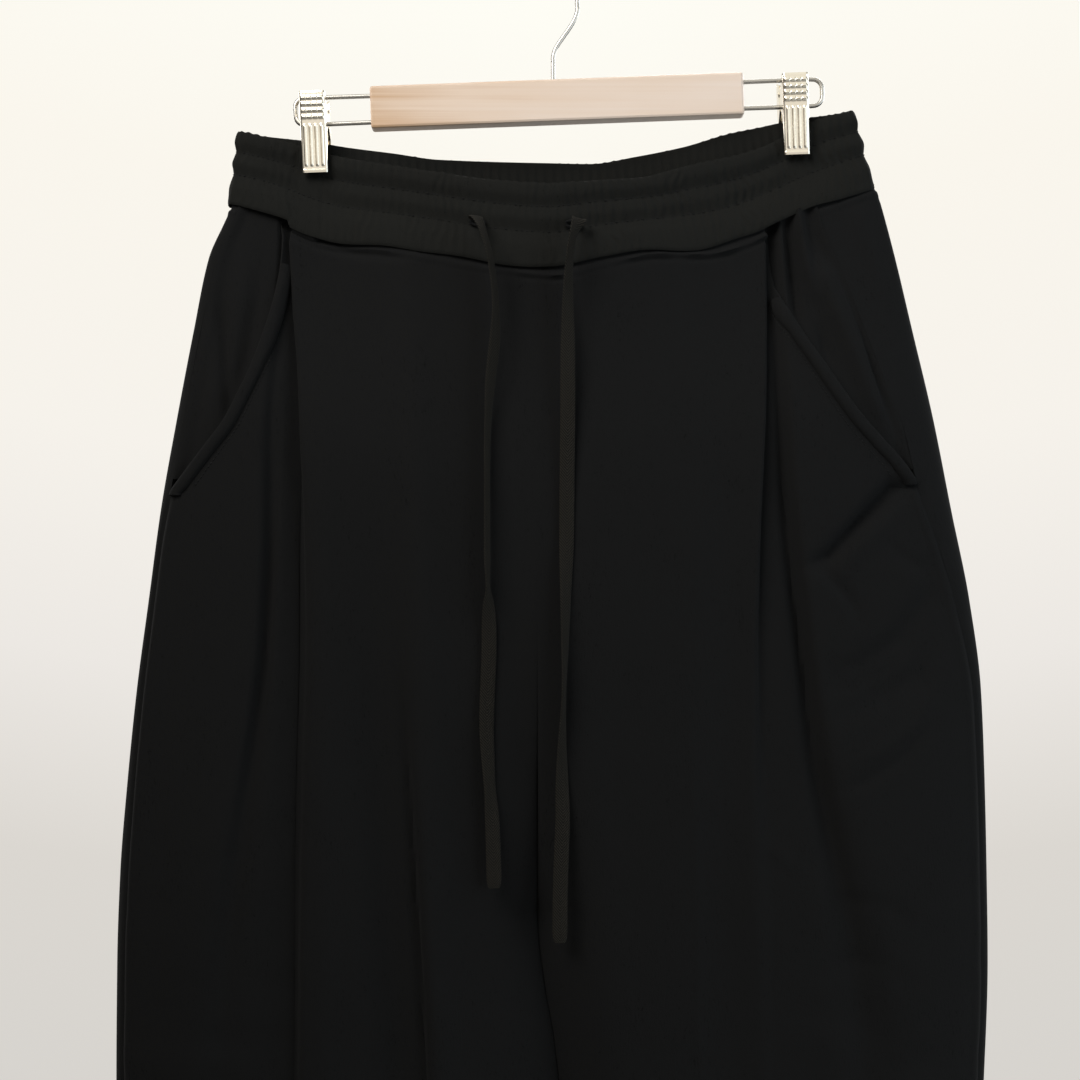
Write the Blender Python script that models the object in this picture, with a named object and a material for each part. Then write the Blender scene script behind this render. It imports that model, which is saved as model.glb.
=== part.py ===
"""Wide-legged sweatpants hanging by the waistband from a wood and steel clip hanger.

The cloth is built from its pattern pieces: front and back panels, pocket facings and bands, and an
elastic waistband. Each piece is a thin wall through sections that are worked out from the tables below.
The tables are in millimetres and degrees. "down" is the distance below the inner top of the hook, where
the hanger hangs on a rail and where the origin is. +X is to the right as one faces the front, the front
faces -Y and +Z is up. "out" is the distance from the middle plane towards the left or the right side.
"""

import math

import bmesh
import bpy
import numpy as np
from mathutils import Matrix, Vector

MM = 0.001

# Cloth, seams and hem
CLOTH = 1.8
BAND_WALL = 4.2
HEM_WALL = 3.2
HEM_HEIGHT = 25.0
SEAM_GAP = 0.3
WAIST_GAP = 0.8  # the panels' top edges are straight between their columns, so they keep a little more
SEAM_DOWN = 182.0  # nominal height of the seam below the waistband
CROTCH_DOWN = 612.0
HEM_DOWN = 1120.0
WAIST_BLEND = 150.0  # below the waistband the panels take this height to reach their own section
VALLEY_DOWN = 400.0  # where the valley between the legs starts
VALLEY_REACH = 70.0  # beyond this distance from the middle the legs part gently
LENS_POWER = 3.0  # roundness of the body's section: 2 is an ellipse, more is flatter in the middle
CAP_POWER = 12.0  # roundness of the ends of the waistband's section

# Rows of every panel, as distances below the hook
ROWS = (182, 196, 218, 244, 272, 302, 325, 345, 385, 430, 480, 530, 572, 600, 612, 626, 655, 700, 760, 830, 910,
        1000, 1094, 1120)
POCKET_ROW = 7  # the row at the lower end of the pocket mouth

GATHERS = 140
INNER_EVERY = 4  # the waistband's plain inside has one column for this many outside


def smooth(at, knots, values):
    """Read a monotone curve through the knots; level beyond both ends."""
    knots, values = np.asarray(knots, float), np.asarray(values, float)
    step = np.diff(knots)
    slope = np.diff(values) / step
    tangent = np.zeros_like(values)
    tangent[0], tangent[-1] = slope[0], slope[-1]
    product = slope[:-1] * slope[1:]
    rising = product > 0
    total = np.where(rising, slope[:-1] + slope[1:], 1.0)
    tangent[1:-1] = np.where(rising, 2.0 * product / total, 0.0)
    at = np.clip(at, knots[0], knots[-1])
    i = np.clip(np.searchsorted(knots, at, side="right") - 1, 0, len(step) - 1)
    t = (at - knots[i]) / step[i]
    rise = values[i + 1] - values[i]
    bend = 3.0 * rise - step[i] * (2.0 * tangent[i] + tangent[i + 1])
    twist = step[i] * (tangent[i] + tangent[i + 1]) - 2.0 * rise
    return values[i] + t * (step[i] * tangent[i] + t * (bend + t * twist))


def smoothstep(start, end, at):
    t = np.clip((at - start) / (end - start), 0.0, 1.0)
    return t * t * (3.0 - 2.0 * t)


class Table:
    """Rows of numbers with named columns, the first of which is the one that the rows are read by."""

    def __init__(self, names, *rows):
        self.names = names.split()
        self.rows = np.array(rows, float)

    def at(self, name, key):
        return smooth(key, self.rows[:, 0], self.rows[:, self.names.index(name)])


# The waistband. "across" runs from -1 at the left end to 1 at the right end.
BAND_ENDS = {"top": (-203.0, 198.5), "seam": (-208.5, 211.5)}
BAND_DOWN = Table(
    "across top_front top_back seam_front seam_back",
    (-1.00, 109.0, 109.0, 158.0, 158.0),
    (-0.90, 114.0, 111.0, 163.0, 161.5),
    (-0.82, 117.5, 113.0, 169.5, 164.5),
    (-0.75, 121.6, 115.3, 176.5, 168.0),
    (-0.65, 127.0, 118.0, 183.0, 171.5),
    (-0.50, 133.3, 121.0, 187.0, 175.0),
    (-0.35, 139.0, 124.0, 192.5, 178.0),
    (-0.15, 145.5, 124.4, 200.0, 178.5),
    (0.00, 148.0, 124.8, 202.5, 178.0),
    (0.15, 145.8, 125.5, 196.0, 177.5),
    (0.30, 143.0, 121.5, 190.2, 174.5),
    (0.45, 134.5, 116.5, 188.5, 167.5),
    (0.60, 126.8, 108.7, 180.0, 160.0),
    (0.70, 120.0, 105.0, 169.5, 156.5),
    (0.80, 109.5, 101.0, 161.0, 152.7),
    (0.87, 102.5, 98.5, 156.3, 150.5),
    (0.94, 98.8, 96.5, 150.5, 148.0),
    (1.00, 95.0, 95.0, 146.0, 146.0),
)
BAND_DEPTH = Table(
    "across top_front top_back seam_front seam_back",
    (-1.00, 10.0, 10.0, 13.0, 12.0),
    (-0.90, 8.5, 8.5, 13.0, 11.5),
    (-0.82, 6.2, 6.2, 13.0, 11.0),
    (-0.79, 5.0, 5.0, 12.7, 10.8),
    (-0.71, 5.0, 5.0, 12.8, 10.6),
    (-0.65, 7.0, 6.5, 14.0, 11.0),
    (-0.50, 12.0, 10.0, 18.0, 14.0),
    (-0.35, 17.5, 14.5, 23.0, 17.5),
    (-0.15, 23.0, 19.0, 27.0, 20.0),
    (0.00, 25.0, 20.0, 28.0, 20.5),
    (0.15, 24.0, 19.5, 27.0, 20.0),
    (0.30, 20.0, 16.5, 24.0, 17.5),
    (0.45, 14.5, 12.0, 19.5, 14.0),
    (0.60, 9.0, 8.0, 15.0, 11.0),
    (0.70, 6.4, 6.2, 13.5, 10.6),
    (0.76, 5.0, 5.0, 13.0, 10.5),
    (0.85, 5.0, 5.0, 13.0, 10.5),
    (0.89, 6.8, 6.8, 13.0, 11.0),
    (0.94, 8.5, 8.5, 13.0, 11.5),
    (1.00, 10.0, 10.0, 13.0, 12.0),
)
CLIP_ACROSS = (-0.75, 0.805)
# Relief of the waistband's outside from its top (0) to its seam (1): three channels and two stitched rows
BAND_RELIEF = Table(
    "height puff gather",
    (0.00, -1.2, 0.15),
    (0.13, 0.5, 0.65),
    (0.27, -0.9, 0.35),
    (0.42, 0.6, 0.70),
    (0.57, -0.9, 0.35),
    (0.79, 0.7, 0.70),
    (1.00, -1.0, 0.20),
)

# Body and legs: outer edges, and depth of the front and of the back in front of and behind the middle
OUTLINE = Table(
    "down left right front back",
    (146, -205.0, 212.5, 24.0, 20.0),
    (159, -207.5, 216.5, 25.0, 21.0),
    (192, -221.3, 225.2, 28.0, 24.0),
    (238, -230.8, 236.0, 31.0, 28.0),
    (296, -241.8, 249.6, 33.5, 31.0),
    (355, -252.2, 261.3, 35.0, 33.0),
    (413, -260.0, 273.0, 36.0, 34.0),
    (472, -267.8, 280.6, 36.0, 34.5),
    (530, -273.6, 282.8, 36.5, 35.0),
    (589, -278.2, 284.0, 37.0, 35.0),
    (647, -280.2, 284.7, 37.0, 35.0),
    (725, -280.8, 282.1, 36.5, 34.0),
    (800, -277.0, 278.0, 35.5, 33.0),
    (900, -266.0, 268.0, 33.0, 31.0),
    (1000, -252.0, 254.5, 30.5, 29.0),
    (1120, -235.0, 239.0, 27.0, 26.0),
)
# The line between the legs, and how far each leg's inner edge is from it (below 0 the legs press together)
BETWEEN = Table(
    "down line half_gap",
    (150, -7.2, 0.0),
    (612, -7.2, 0.0),
    (626, -6.8, -1.5),
    (655, -3.5, -3.0),
    (700, 4.0, -4.0),
    (760, 9.0, -3.0),
    (830, 6.0, 2.0),
    (910, 3.5, 10.0),
    (1000, 2.5, 24.0),
    (1120, 2.0, 38.0),
)
# Distance of each side seam from the outer edge, on the front
SIDE_SEAM = Table(
    "down left right",
    (146, 6.0, 44.0),
    (174, 6.0, 43.0),
    (196, 6.0, 39.5),
    (238, 6.0, 34.0),
    (273, 6.0, 29.5),
    (300, 6.0, 24.5),
    (338, 6.5, 22.5),
    (380, 5.0, 16.0),
    (415, 5.5, 12.0),
    (480, 6.5, 7.0),
    (590, 8.5, 6.5),
    (725, 7.5, 6.5),
    (1120, 6.0, 6.0),
)
# Pocket mouths, as distances out from the middle plane
POCKET = {
    "left": Table(
        "down out",
        (158, 171.2), (190, 172.4), (225, 178.0), (244, 183.5), (263, 190.0), (279, 197.3), (298, 207.3),
        (313, 219.0), (328, 231.0), (345, 244.5),
    ),
    "right": Table(
        "down out",
        (146, 139.5), (184, 141.2), (209, 144.4), (224, 151.3), (242, 162.0), (260, 174.0), (279, 186.6),
        (296, 199.3), (312, 213.9), (325, 226.0), (338, 236.0),
    ),
}
POCKET_END = {"left": 345.0, "right": 338.0}
POCKET_BAND_WIDTH = 7.0
POCKET_BAND_WALL = 1.6
BAND_COLUMNS = (-1.0, -0.75, -0.4, 0.0)  # columns of the front panel that the band lies on
BAND_CROWN = (0.6, 1.0, 1.0, 0.5)
POCKET_BAND_ROW = {"left": 1, "right": 3}  # its first row: above it the folded pleat covers the band's place
FACING_DROP = 3.0  # how far the facing lies under the front panel
FACING_REACH = 14.0  # how far it goes on under the front panel

# Knife pleats: "out" of the folded edge, and the turn, lap and radius of the fold. A turn of 180 degrees is
# a pressed pleat, and as the turn falls it opens into a soft step. "groove" and "trough" give the place and
# depth of the valley beside it.
PLEAT = {
    "left": Table(
        "down out turn lap radius groove trough",
        (160, 168.0, 180.0, 15.0, 1.30, 170.0, 0.0),
        (196, 165.4, 178.0, 11.0, 1.40, 170.5, 0.5),
        (225, 163.4, 170.0, 6.0, 1.60, 172.0, 1.5),
        (272, 159.0, 150.0, 2.5, 2.00, 175.5, 3.5),
        (315, 156.6, 126.0, 1.5, 2.90, 177.5, 5.0),
        (375, 155.4, 110.0, 1.8, 3.60, 180.5, 6.0),
        (437, 154.8, 95.0, 1.5, 4.20, 184.0, 6.5),
        (530, 155.2, 78.0, 1.5, 5.00, 193.5, 6.0),
        (641, 157.0, 62.0, 3.0, 4.80, 206.0, 4.0),
        (800, 157.0, 45.0, 3.0, 6.50, 211.0, 2.0),
        (950, 153.0, 28.0, 3.0, 8.00, 205.0, 1.0),
        (1120, 148.0, 14.0, 3.0, 9.00, 196.0, 0.3),
    ),
    "right": Table(
        "down out turn lap radius groove trough",
        (150, 138.5, 180.0, 15.0, 1.30, 141.5, 0.0),
        (215, 138.6, 180.0, 13.0, 1.30, 144.0, 0.0),
        (286, 136.5, 172.0, 9.0, 1.50, 146.5, 1.5),
        (330, 134.5, 155.0, 6.5, 1.80, 148.5, 3.5),
        (375, 132.8, 125.0, 5.0, 2.30, 151.5, 6.0),
        (437, 131.0, 95.0, 4.0, 2.80, 158.5, 7.0),
        (501, 132.0, 70.0, 3.0, 4.00, 168.8, 6.0),
        (560, 134.0, 50.0, 3.0, 5.50, 178.5, 4.0),
        (640, 137.0, 38.0, 3.0, 7.00, 192.0, 2.0),
        (800, 140.0, 24.0, 3.0, 8.00, 200.0, 1.0),
        (1120, 137.0, 12.0, 3.0, 9.00, 190.0, 0.3),
    ),
}
UNDERLAY_REACH = 28.0  # the side of the panel takes this far to come up level again beyond the groove
GROOVE_WIDTH = 11.0

# Largest folds, as rows of X, down, height (below 0 a trough) and half width
FRONT_FOLDS = {
    "left_line": ((-99, 330, 0, 9), (-97, 400, -3, 9), (-91, 500, -6.5, 9), (-87, 570, -8.5, 9),
                  (-82, 655, -9.5, 9), (-79, 720, -9, 10), (-84, 860, -5, 12), (-92, 1000, -2, 14)),
    "left_ridge": ((-92, 200, 1, 13), (-86, 318, 3, 13), (-76, 450, 4, 14), (-68, 560, 4.5, 14),
                   (-62, 680, 5, 15), (-66, 860, 3, 18), (-74, 1050, 1, 20)),
    "left_plateau": ((-146, 260, 0, 9), (-144, 340, 2, 9), (-142, 480, 2.5, 9), (-141, 700, 2, 10),
                     (-141, 900, 0, 12)),
    "left_hollow": ((-122, 340, 0, 12), (-121, 420, -3.5, 12), (-119, 560, -5, 12), (-116, 720, -4.5, 14),
                    (-122, 900, -1.5, 18)),
    "right_ridge": ((18, 420, 0, 16), (22, 520, 2, 17), (34, 640, 3, 18), (44, 780, 2, 22), (60, 950, 0, 24)),
    "right_hollow": ((110, 220, 0, 14), (113, 350, -3, 15), (113, 480, -4.5, 16), (110, 620, -4.5, 17),
                     (114, 760, -3, 20), (120, 950, -1, 24)),
    "right_drag": ((236, 340, -1, 7), (219, 343, -4, 7), (200, 363, -5, 7), (178, 385, -4, 7),
                   (165, 392, -1, 7)),
    "right_pull": ((178, 486, 0, 10), (205, 474, -3.0, 11), (232, 462, -3.5, 12), (250, 420, -1.0, 12)),
    "right_fall": ((172, 500, 0, 10), (180, 560, -3, 11), (196, 640, -3.5, 12), (206, 720, -2.5, 14),
                   (208, 850, 0, 16)),
}
BACK_FOLDS = {
    "left_outer": ((-172, 178, 0, 12), (-176, 240, -2, 13), (-182, 380, -4, 15), (-190, 560, -4.5, 17),
                   (-196, 760, -3, 20), (-190, 980, -1, 22)),
    "left_middle": ((-96, 240, 0, 16), (-100, 360, 2, 18), (-112, 560, 3.5, 20), (-120, 760, 3, 22),
                    (-126, 1000, 1, 24)),
    "left_inner": ((-50, 480, 0, 12), (-54, 580, -3.5, 13), (-62, 700, -5, 15), (-76, 900, -2.5, 20)),
    "right_inner": ((38, 440, 0, 12), (44, 560, -4, 13), (60, 700, -4.5, 15), (84, 900, -2, 20)),
    "right_middle": ((104, 200, 0, 16), (108, 330, -2.5, 17), (114, 520, -4, 18), (122, 720, -3.5, 20),
                     (130, 960, -1, 24)),
    "right_outer": ((188, 260, 0, 16), (192, 400, 2.5, 18), (200, 600, 3.5, 20), (204, 820, 2.5, 22),
                    (200, 1000, 0.5, 24)),
}
FOLD_MARGIN = 16.0  # folds fade out over this distance from a panel's silhouette

# Drawstrings: X, Y and down of the points that each follows from its buttonhole to its free end
CORD_WIDTH = 9.4
CORD_POINTS = 26
CORDS = {
    "drawstring_left": (
        (-44.8, -35.6, 172.5), (-42.6, -37.6, 178.0), (-40.4, -39.0, 184.5), (-38.0, -40.2, 192.5),
        (-35.6, -41.2, 206.0), (-33.6, -42.0, 226.0), (-34.0, -42.6, 248.0), (-36.8, -42.9, 275.0),
        (-38.6, -43.0, 306.0), (-38.8, -43.0, 350.0), (-38.6, -43.0, 387.0), (-38.0, -43.0, 412.0),
        (-37.6, -43.0, 440.0), (-38.6, -43.0, 468.0), (-39.2, -43.0, 492.0), (-37.5, -43.0, 525.0),
        (-35.8, -43.0, 548.0), (-35.0, -43.0, 571.0), (-34.4, -43.0, 592.0),
    ),
    "drawstring_right": (
        (17.2, -36.6, 174.5), (15.9, -38.4, 179.5), (14.6, -39.8, 185.5), (13.2, -41.0, 193.5),
        (12.1, -41.9, 207.0), (11.6, -42.4, 226.0), (11.6, -43.0, 250.0), (11.5, -43.4, 290.0),
        (11.1, -43.6, 330.0), (10.8, -43.6, 370.0), (10.2, -43.6, 405.0), (9.7, -43.6, 440.0),
        (9.1, -43.6, 468.0), (8.0, -43.6, 500.0), (7.9, -43.6, 526.0), (8.3, -43.6, 549.0),
        (7.4, -43.6, 574.0), (6.7, -43.6, 600.0), (6.6, -43.6, 626.0),
    ),
}

# Hanger: a frame at the middle of the bar, tilted a little as it hangs
BAR_CENTRE = (5.2, 0.0, -89.7)
BAR_SIZE = (242.0, 12.0, 27.4)
BAR_TILT = 2.15
BAR_EDGE = 1.6
WIRE = 2.9
RACK_HALF_HEIGHT = 8.6
RACK_REACH = {"left": -170.3, "right": 172.5}
RACK_CORNER = 6.0
HOOK_RADIUS = 19.5
HOOK_CENTRE = (0.0, WIRE / 2 - HOOK_RADIUS)  # X and Z of the hook's round
HOOK_END_ANGLE = 130.0
HOOK_TIP = 24.0
HOOK_BALL = 2.4
STEM_X = 2.6
CLIP_CENTRE = {"left": (-157.4, -16.4), "right": (153.2, -16.4)}
CLIP_WIDTH = 16.8
CLIP_WALL = 1.2
RIB_HEIGHT = 0.6
# Side view of a jaw from top to bottom: "below" the clip's centre, distance of the plate from the middle
# plane, distance of the flange's free edge from it, and how far the grip's cross ridges stand out
JAW = Table(
    "below plate flange ridge",
    (-25.7, 12.8, 10.0, 0.0),
    (-23.4, 13.2, 8.0, 0.0),
    (-21.0, 13.0, 5.0, 0.7),
    (-18.8, 12.9, 3.0, -0.1),
    (-16.6, 12.7, 2.1, 0.7),
    (-14.4, 12.5, 2.1, -0.1),
    (-12.2, 12.3, 2.1, 0.7),
    (-10.0, 12.1, 2.1, -0.1),
    (-7.8, 11.9, 2.1, 0.7),
    (-5.4, 11.7, 2.1, 0.0),
    (1.0, 11.0, 7.4, 0.0),
    (22.5, 10.0, 7.3, 0.0),
    (25.7, 9.4, 6.6, 0.0),
)
RIB_START = -5.0
JAW_LIP = 25.0
PLATE_PLACES = (-7.0, -5.4, -3.6, -1.8, 0.0, 1.8, 3.6, 5.4, 7.0)
RIB_PLACES = (-5.4, -1.8, 1.8, 5.4)
SPRING = {"outer": 4.4, "inner": 1.8, "length": 10.0, "sides": 12}

MATERIALS = {
    # name: colour (sRGB 0-255), roughness, metallic
    "black_sweat_fabric": ((26, 26, 26), 0.95, 0.0),
    "black_waistband": ((30, 30, 28), 0.95, 0.0),
    "black_brown_braid": ((38, 36, 31), 0.9, 0.0),
    "pale_wood": ((234, 208, 178), 0.55, 0.0),
    "nickel_plate": ((225, 220, 205), 0.25, 1.0),
    "steel_wire": ((200, 198, 192), 0.3, 1.0),
}


def linear(channel):
    c = channel / 255.0
    return c / 12.92 if c <= 0.04045 else ((c + 0.055) / 1.055) ** 2.4


def make_material(node, kind):
    colour, roughness, metallic = MATERIALS[kind]
    material = bpy.data.materials.new(f"{node}_{kind}")
    material.use_nodes = True
    shader = material.node_tree.nodes["Principled BSDF"]
    shader.inputs["Base Color"].default_value = (*map(linear, colour), 1.0)
    shader.inputs["Roughness"].default_value = roughness
    shader.inputs["Metallic"].default_value = metallic
    return material


def add_object(name, data, kind):
    obj = bpy.data.objects.new(name, data)
    bpy.context.scene.collection.objects.link(obj)
    data.materials.append(make_material(name, kind))
    return obj


def sign_of(side):
    return -1.0 if side == "left" else 1.0


# ---- Sections of the body ----


def outer_edge(side, down):
    """Distance out of the silhouette's middle surface."""
    return sign_of(side) * OUTLINE.at(side, down) - CLOTH / 2


def inner_edge(side, down):
    """Distance out of the edge between the legs; below 0 it is past the middle plane."""
    return sign_of(side) * BETWEEN.at("line", down) + BETWEEN.at("half_gap", down)


def seam_edge(side, down):
    return outer_edge(side, down) - SIDE_SEAM.at(side, down)


def pocket_edge(side, down):
    """Outer edge of the front panel: the pocket mouth, and below it the side seam."""
    edge = seam_edge(side, down)
    return np.where(down < POCKET_END[side], np.minimum(POCKET[side].at("out", down), edge), edge)


def lens(at, middle, half_width):
    t = np.clip(np.abs(at - middle) / half_width, 0.0, 1.0)
    return np.sqrt(1.0 - t**LENS_POWER)


def leg_share(down, reach):
    """0 where the section is one body, 1 where it is two legs; reach is the distance from the inseam's side."""
    s = np.clip((down - VALLEY_DOWN) / (CROTCH_DOWN - VALLEY_DOWN), 0.0, 1.0)
    near, far = 1.0 - (1.0 - s * s) ** 0.8, s * s * (3.0 - 2.0 * s)
    return near + (far - near) * smoothstep(0.0, VALLEY_REACH, reach)


def band_across(x):
    left, right = BAND_ENDS["seam"]
    return np.clip((2.0 * x - left - right) / (right - left), -1.0, 1.0)


def seam_down(face, x):
    return BAND_DOWN.at(f"seam_{face}", band_across(x))


def row_down(face, x, row):
    """Height of a row at X: it follows the waistband's seam at the top and is level further down."""
    follow = 1.0 - smoothstep(0.0, WAIST_BLEND, row - SEAM_DOWN)
    return row + WAIST_GAP + follow * (seam_down(face, x) - SEAM_DOWN)


def fold_relief(folds, x, down):
    """Sum of the folds, each a soft ridge or trough along its own line."""
    total = np.zeros(np.broadcast(x, down).shape)
    for rows in folds.values():
        nearest = np.full(total.shape, np.inf)
        relief = np.zeros(total.shape)
        for (x0, d0, high0, wide0), (x1, d1, high1, wide1) in zip(rows[:-1], rows[1:]):
            run_x, run_d = x1 - x0, d1 - d0
            t = np.clip(((x - x0) * run_x + (down - d0) * run_d) / (run_x**2 + run_d**2), 0.0, 1.0)
            distance = np.hypot(x - x0 - t * run_x, down - d0 - t * run_d)
            value = (high0 + t * (high1 - high0)) * np.exp(-((distance / (wide0 + t * (wide1 - wide0))) ** 2))
            relief = np.where(distance < nearest, value, relief)
            nearest = np.minimum(distance, nearest)
        total += relief
    return total


def body_depth(face, side, x, down):
    """Distance of the front or the back from the middle plane, with its folds."""
    out = sign_of(side) * x
    left = OUTLINE.at("left", down) + CLOTH / 2
    right = OUTLINE.at("right", down) - CLOTH / 2
    middle, half = (left + right) / 2, (right - left) / 2
    outer, inner = outer_edge(side, down), inner_edge(side, down)
    share = leg_share(down, out - inner)
    section = (1.0 - share) * lens(x, middle, half)
    section += share * lens(out, (outer + inner) / 2, (outer - inner) / 2)
    depth = OUTLINE.at(face, down) * section
    across = np.clip((x - middle) / half, -1.0, 1.0)
    proud = 1.3 + CLOTH / 2
    at_seam = (BAND_DEPTH.at(f"seam_{face}", across) - proud) * np.sqrt(1.0 - np.abs(across) ** CAP_POWER)
    blend = smoothstep(0.0, WAIST_BLEND, down - seam_down(face, x))
    depth = at_seam + blend * (depth - at_seam)
    inner_margin = 1.0 - share * (1.0 - smoothstep(0.0, FOLD_MARGIN, out - inner))
    margin = smoothstep(0.0, FOLD_MARGIN, outer - out) * inner_margin
    folds = FRONT_FOLDS if face == "front" else BACK_FOLDS
    return depth + margin * fold_relief(folds, x, down)


# ---- Knife pleat ----


def pleat_form(side, down):
    table = PLEAT[side]
    turn = np.radians(table.at("turn", down))
    return turn, table.at("lap", down), table.at("radius", down)


def pleat_path(side, down, w):
    """Path through the fold for w in 0..1: distance inward and distance forward from its hidden start."""
    turn, lap, radius = pleat_form(side, down)
    arc = 5.0 / 11.0  # share of w on each arc; the rest is the straight lap
    first = np.clip(w / arc, 0.0, 1.0) * turn
    straight = np.clip((w - arc) / (1.0 - 2.0 * arc), 0.0, 1.0) * lap
    last = turn - np.clip((w - 1.0 + arc) / arc, 0.0, 1.0) * turn
    inward = radius * np.sin(first) + straight * np.cos(turn) + radius * (np.sin(turn) - np.sin(last))
    forward = radius * (1.0 - np.cos(first)) + straight * np.sin(turn) + radius * (np.cos(last) - np.cos(turn))
    return inward, forward


def pleat_start(side, down):
    """Distance out of the fold's hidden start, from the place of its folded edge."""
    turn, lap, radius = pleat_form(side, down)
    inward = radius * np.sin(turn) + lap * np.cos(turn)
    past = np.where(turn > math.pi / 2, radius * (np.sin(turn) - 1.0), 0.0)
    return PLEAT[side].at("out", down) + inward + past


def side_recess(side, out, down):
    """How far the side of the front panel lies behind the folded front: pleat step and groove."""
    step = pleat_path(side, down, np.ones_like(down))[1]
    groove = PLEAT[side].at("groove", down)
    under = 1.0 - smoothstep(0.0, UNDERLAY_REACH, out - groove)
    trough = PLEAT[side].at("trough", down) * np.exp(-(((out - groove) / GROOVE_WIDTH) ** 2))
    edge = smoothstep(0.0, FOLD_MARGIN, outer_edge(side, down) - out)
    return step * under + trough * edge


# ---- Surfaces of the pieces: each gives points for columns u and rows of nominal height ----


def settle(face, side, row, out_at):
    """Find the height and the place of each point, which depend on each other."""
    down = row + 0.0
    for _ in range(4):
        out = out_at(down)
        down = row_down(face, sign_of(side) * out, row)
    return out_at(down), down


def side_level(side, out, down):
    """Y of the side of the front panel, beyond the pleat."""
    return side_recess(side, out, down) - body_depth("front", side, sign_of(side) * out, down)


def pocket_band_width(side, down):
    """Width of the pocket's band along X: more where the mouth slants, and never past the mouth's end."""
    slant = (pocket_edge(side, down + 1.0) - pocket_edge(side, down - 1.0)) / 2.0
    return POCKET_BAND_WIDTH * np.sqrt(1.0 + np.clip(slant, 0.0, 1.0) ** 2)


def front_surface(side, u, row):
    """u runs over -1..0 on the pocket's band, 0..1 on the side, 1..2 in the pleat and 2..3 to the middle."""
    on_band, on_side, on_pleat = u <= 0.0, (u > 0.0) & (u <= 1.0), (u > 1.0) & (u < 2.0)
    w = np.clip(u - 1.0, 0.0, 1.0)

    def out_at(down):
        start, edge = pleat_start(side, down), pocket_edge(side, down)
        width = pocket_band_width(side, down)
        end = start - pleat_path(side, down, np.ones_like(down))[0]
        reach = 0.25 * (u - 2.0) + 0.75 * np.sin((u - 2.0) * math.pi / 2)
        middle = end + (inner_edge(side, down) - end) * reach
        places = [edge - width * (u + 1.0), edge - width + (start - edge + width) * u,
                  start - pleat_path(side, down, w)[0]]
        return np.select([on_band, on_side, on_pleat], places, middle)

    out, down = settle("front", side, row, out_at)
    full = pleat_path(side, down, np.ones_like(down))[1]
    forward = np.where(on_pleat, pleat_path(side, down, w)[1] - full, 0.0)
    y = -body_depth("front", side, sign_of(side) * out, down) - forward
    y = np.where(on_band | on_side, side_level(side, out, down), y)
    return np.stack([sign_of(side) * out, y, -down], axis=-1)


def back_surface(side, u, row):
    """u runs over 0..1 from the middle to the outer edge and 1..2 round it to the side seam."""
    on_back = u <= 1.0

    def out_at(down):
        outer, inner = outer_edge(side, down), inner_edge(side, down)
        across = 0.2 * u + 0.8 * (1.0 - np.cos(np.clip(u, 0.0, 1.0) * math.pi)) / 2
        around = (u - 1.0) ** 2
        return np.where(on_back, inner + (outer - inner) * np.minimum(across, 1.0),
                        outer + (seam_edge(side, down) - outer) * around)

    out, down = settle("back", side, row, out_at)
    front_out, front_down = settle("front", side, row, out_at)
    out, down = np.where(on_back, out, front_out), np.where(on_back, down, front_down)
    x = sign_of(side) * out
    y = np.where(on_back, body_depth("back", side, x, down), -body_depth("front", side, x, down))
    return np.stack([x, y, -down], axis=-1)


def facing_surface(side, u, row):
    """u runs over 0..1 from the side seam to the pocket mouth and 1..2 on under the front panel."""

    def out_at(down):
        seam, mouth = seam_edge(side, down), pocket_edge(side, down)
        return np.where(u <= 1.0, seam + (mouth - seam) * u, mouth - FACING_REACH * (u - 1.0))

    out, down = settle("front", side, row, out_at)
    return np.stack([sign_of(side) * out, side_level(side, out, down), -down], axis=-1)


def facing_drop(side, u, row):
    """How far the facing lies under the level of the front panel, along its normal."""
    width = seam_edge(side, row) - pocket_edge(side, row)
    reach = np.maximum(np.minimum(10.0, 0.8 * width), 0.5)
    return FACING_DROP * smoothstep(0.0, 1.0, np.clip(u, 0.0, 1.0) * width / reach)


# ---- Walls ----


def unit(vectors):
    return vectors / np.maximum(np.linalg.norm(vectors, axis=-1, keepdims=True), 1e-9)


def normals_of(surface, u, row, facing_out):
    """Outward normals from small steps along the surface; facing_out is 1 or -1."""
    step_u, step_row = 0.004, 0.4
    across = surface(u + step_u, row) - surface(u - step_u, row)
    along = surface(u, row + step_row) - surface(u, row - step_row)
    return facing_out * unit(np.cross(across, along))


def wall_solid(name, outer, inner, kind):
    """Close a wall between two grids of points (columns, rows, xyz) in millimetres."""
    columns, rows = outer.shape[:2]
    points = np.concatenate([outer.reshape(-1, 3), inner.reshape(-1, 3)]) * MM
    count = columns * rows

    def index(layer, i, j):
        return layer * count + i * rows + j

    faces = []
    for i in range(columns - 1):
        for j in range(rows - 1):
            a, b, c, d = index(0, i, j), index(0, i + 1, j), index(0, i + 1, j + 1), index(0, i, j + 1)
            short = np.linalg.norm(points[a] - points[c]) <= np.linalg.norm(points[b] - points[d])
            pair = [(a, b, c), (a, c, d)] if short else [(a, b, d), (b, c, d)]
            faces += pair
            faces += [(p + count, r + count, q + count) for p, q, r in pair]
    border = [(i, 0) for i in range(columns)] + [(columns - 1, j) for j in range(1, rows)]
    border += [(i, rows - 1) for i in range(columns - 2, -1, -1)] + [(0, j) for j in range(rows - 2, 0, -1)]
    for k, (i, j) in enumerate(border):
        m, n = border[(k + 1) % len(border)]
        a, b = index(0, i, j), index(0, m, n)
        faces += [(b, a, a + count), (b, a + count, b + count)]
    return closed_mesh(name, points, faces, kind)


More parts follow.
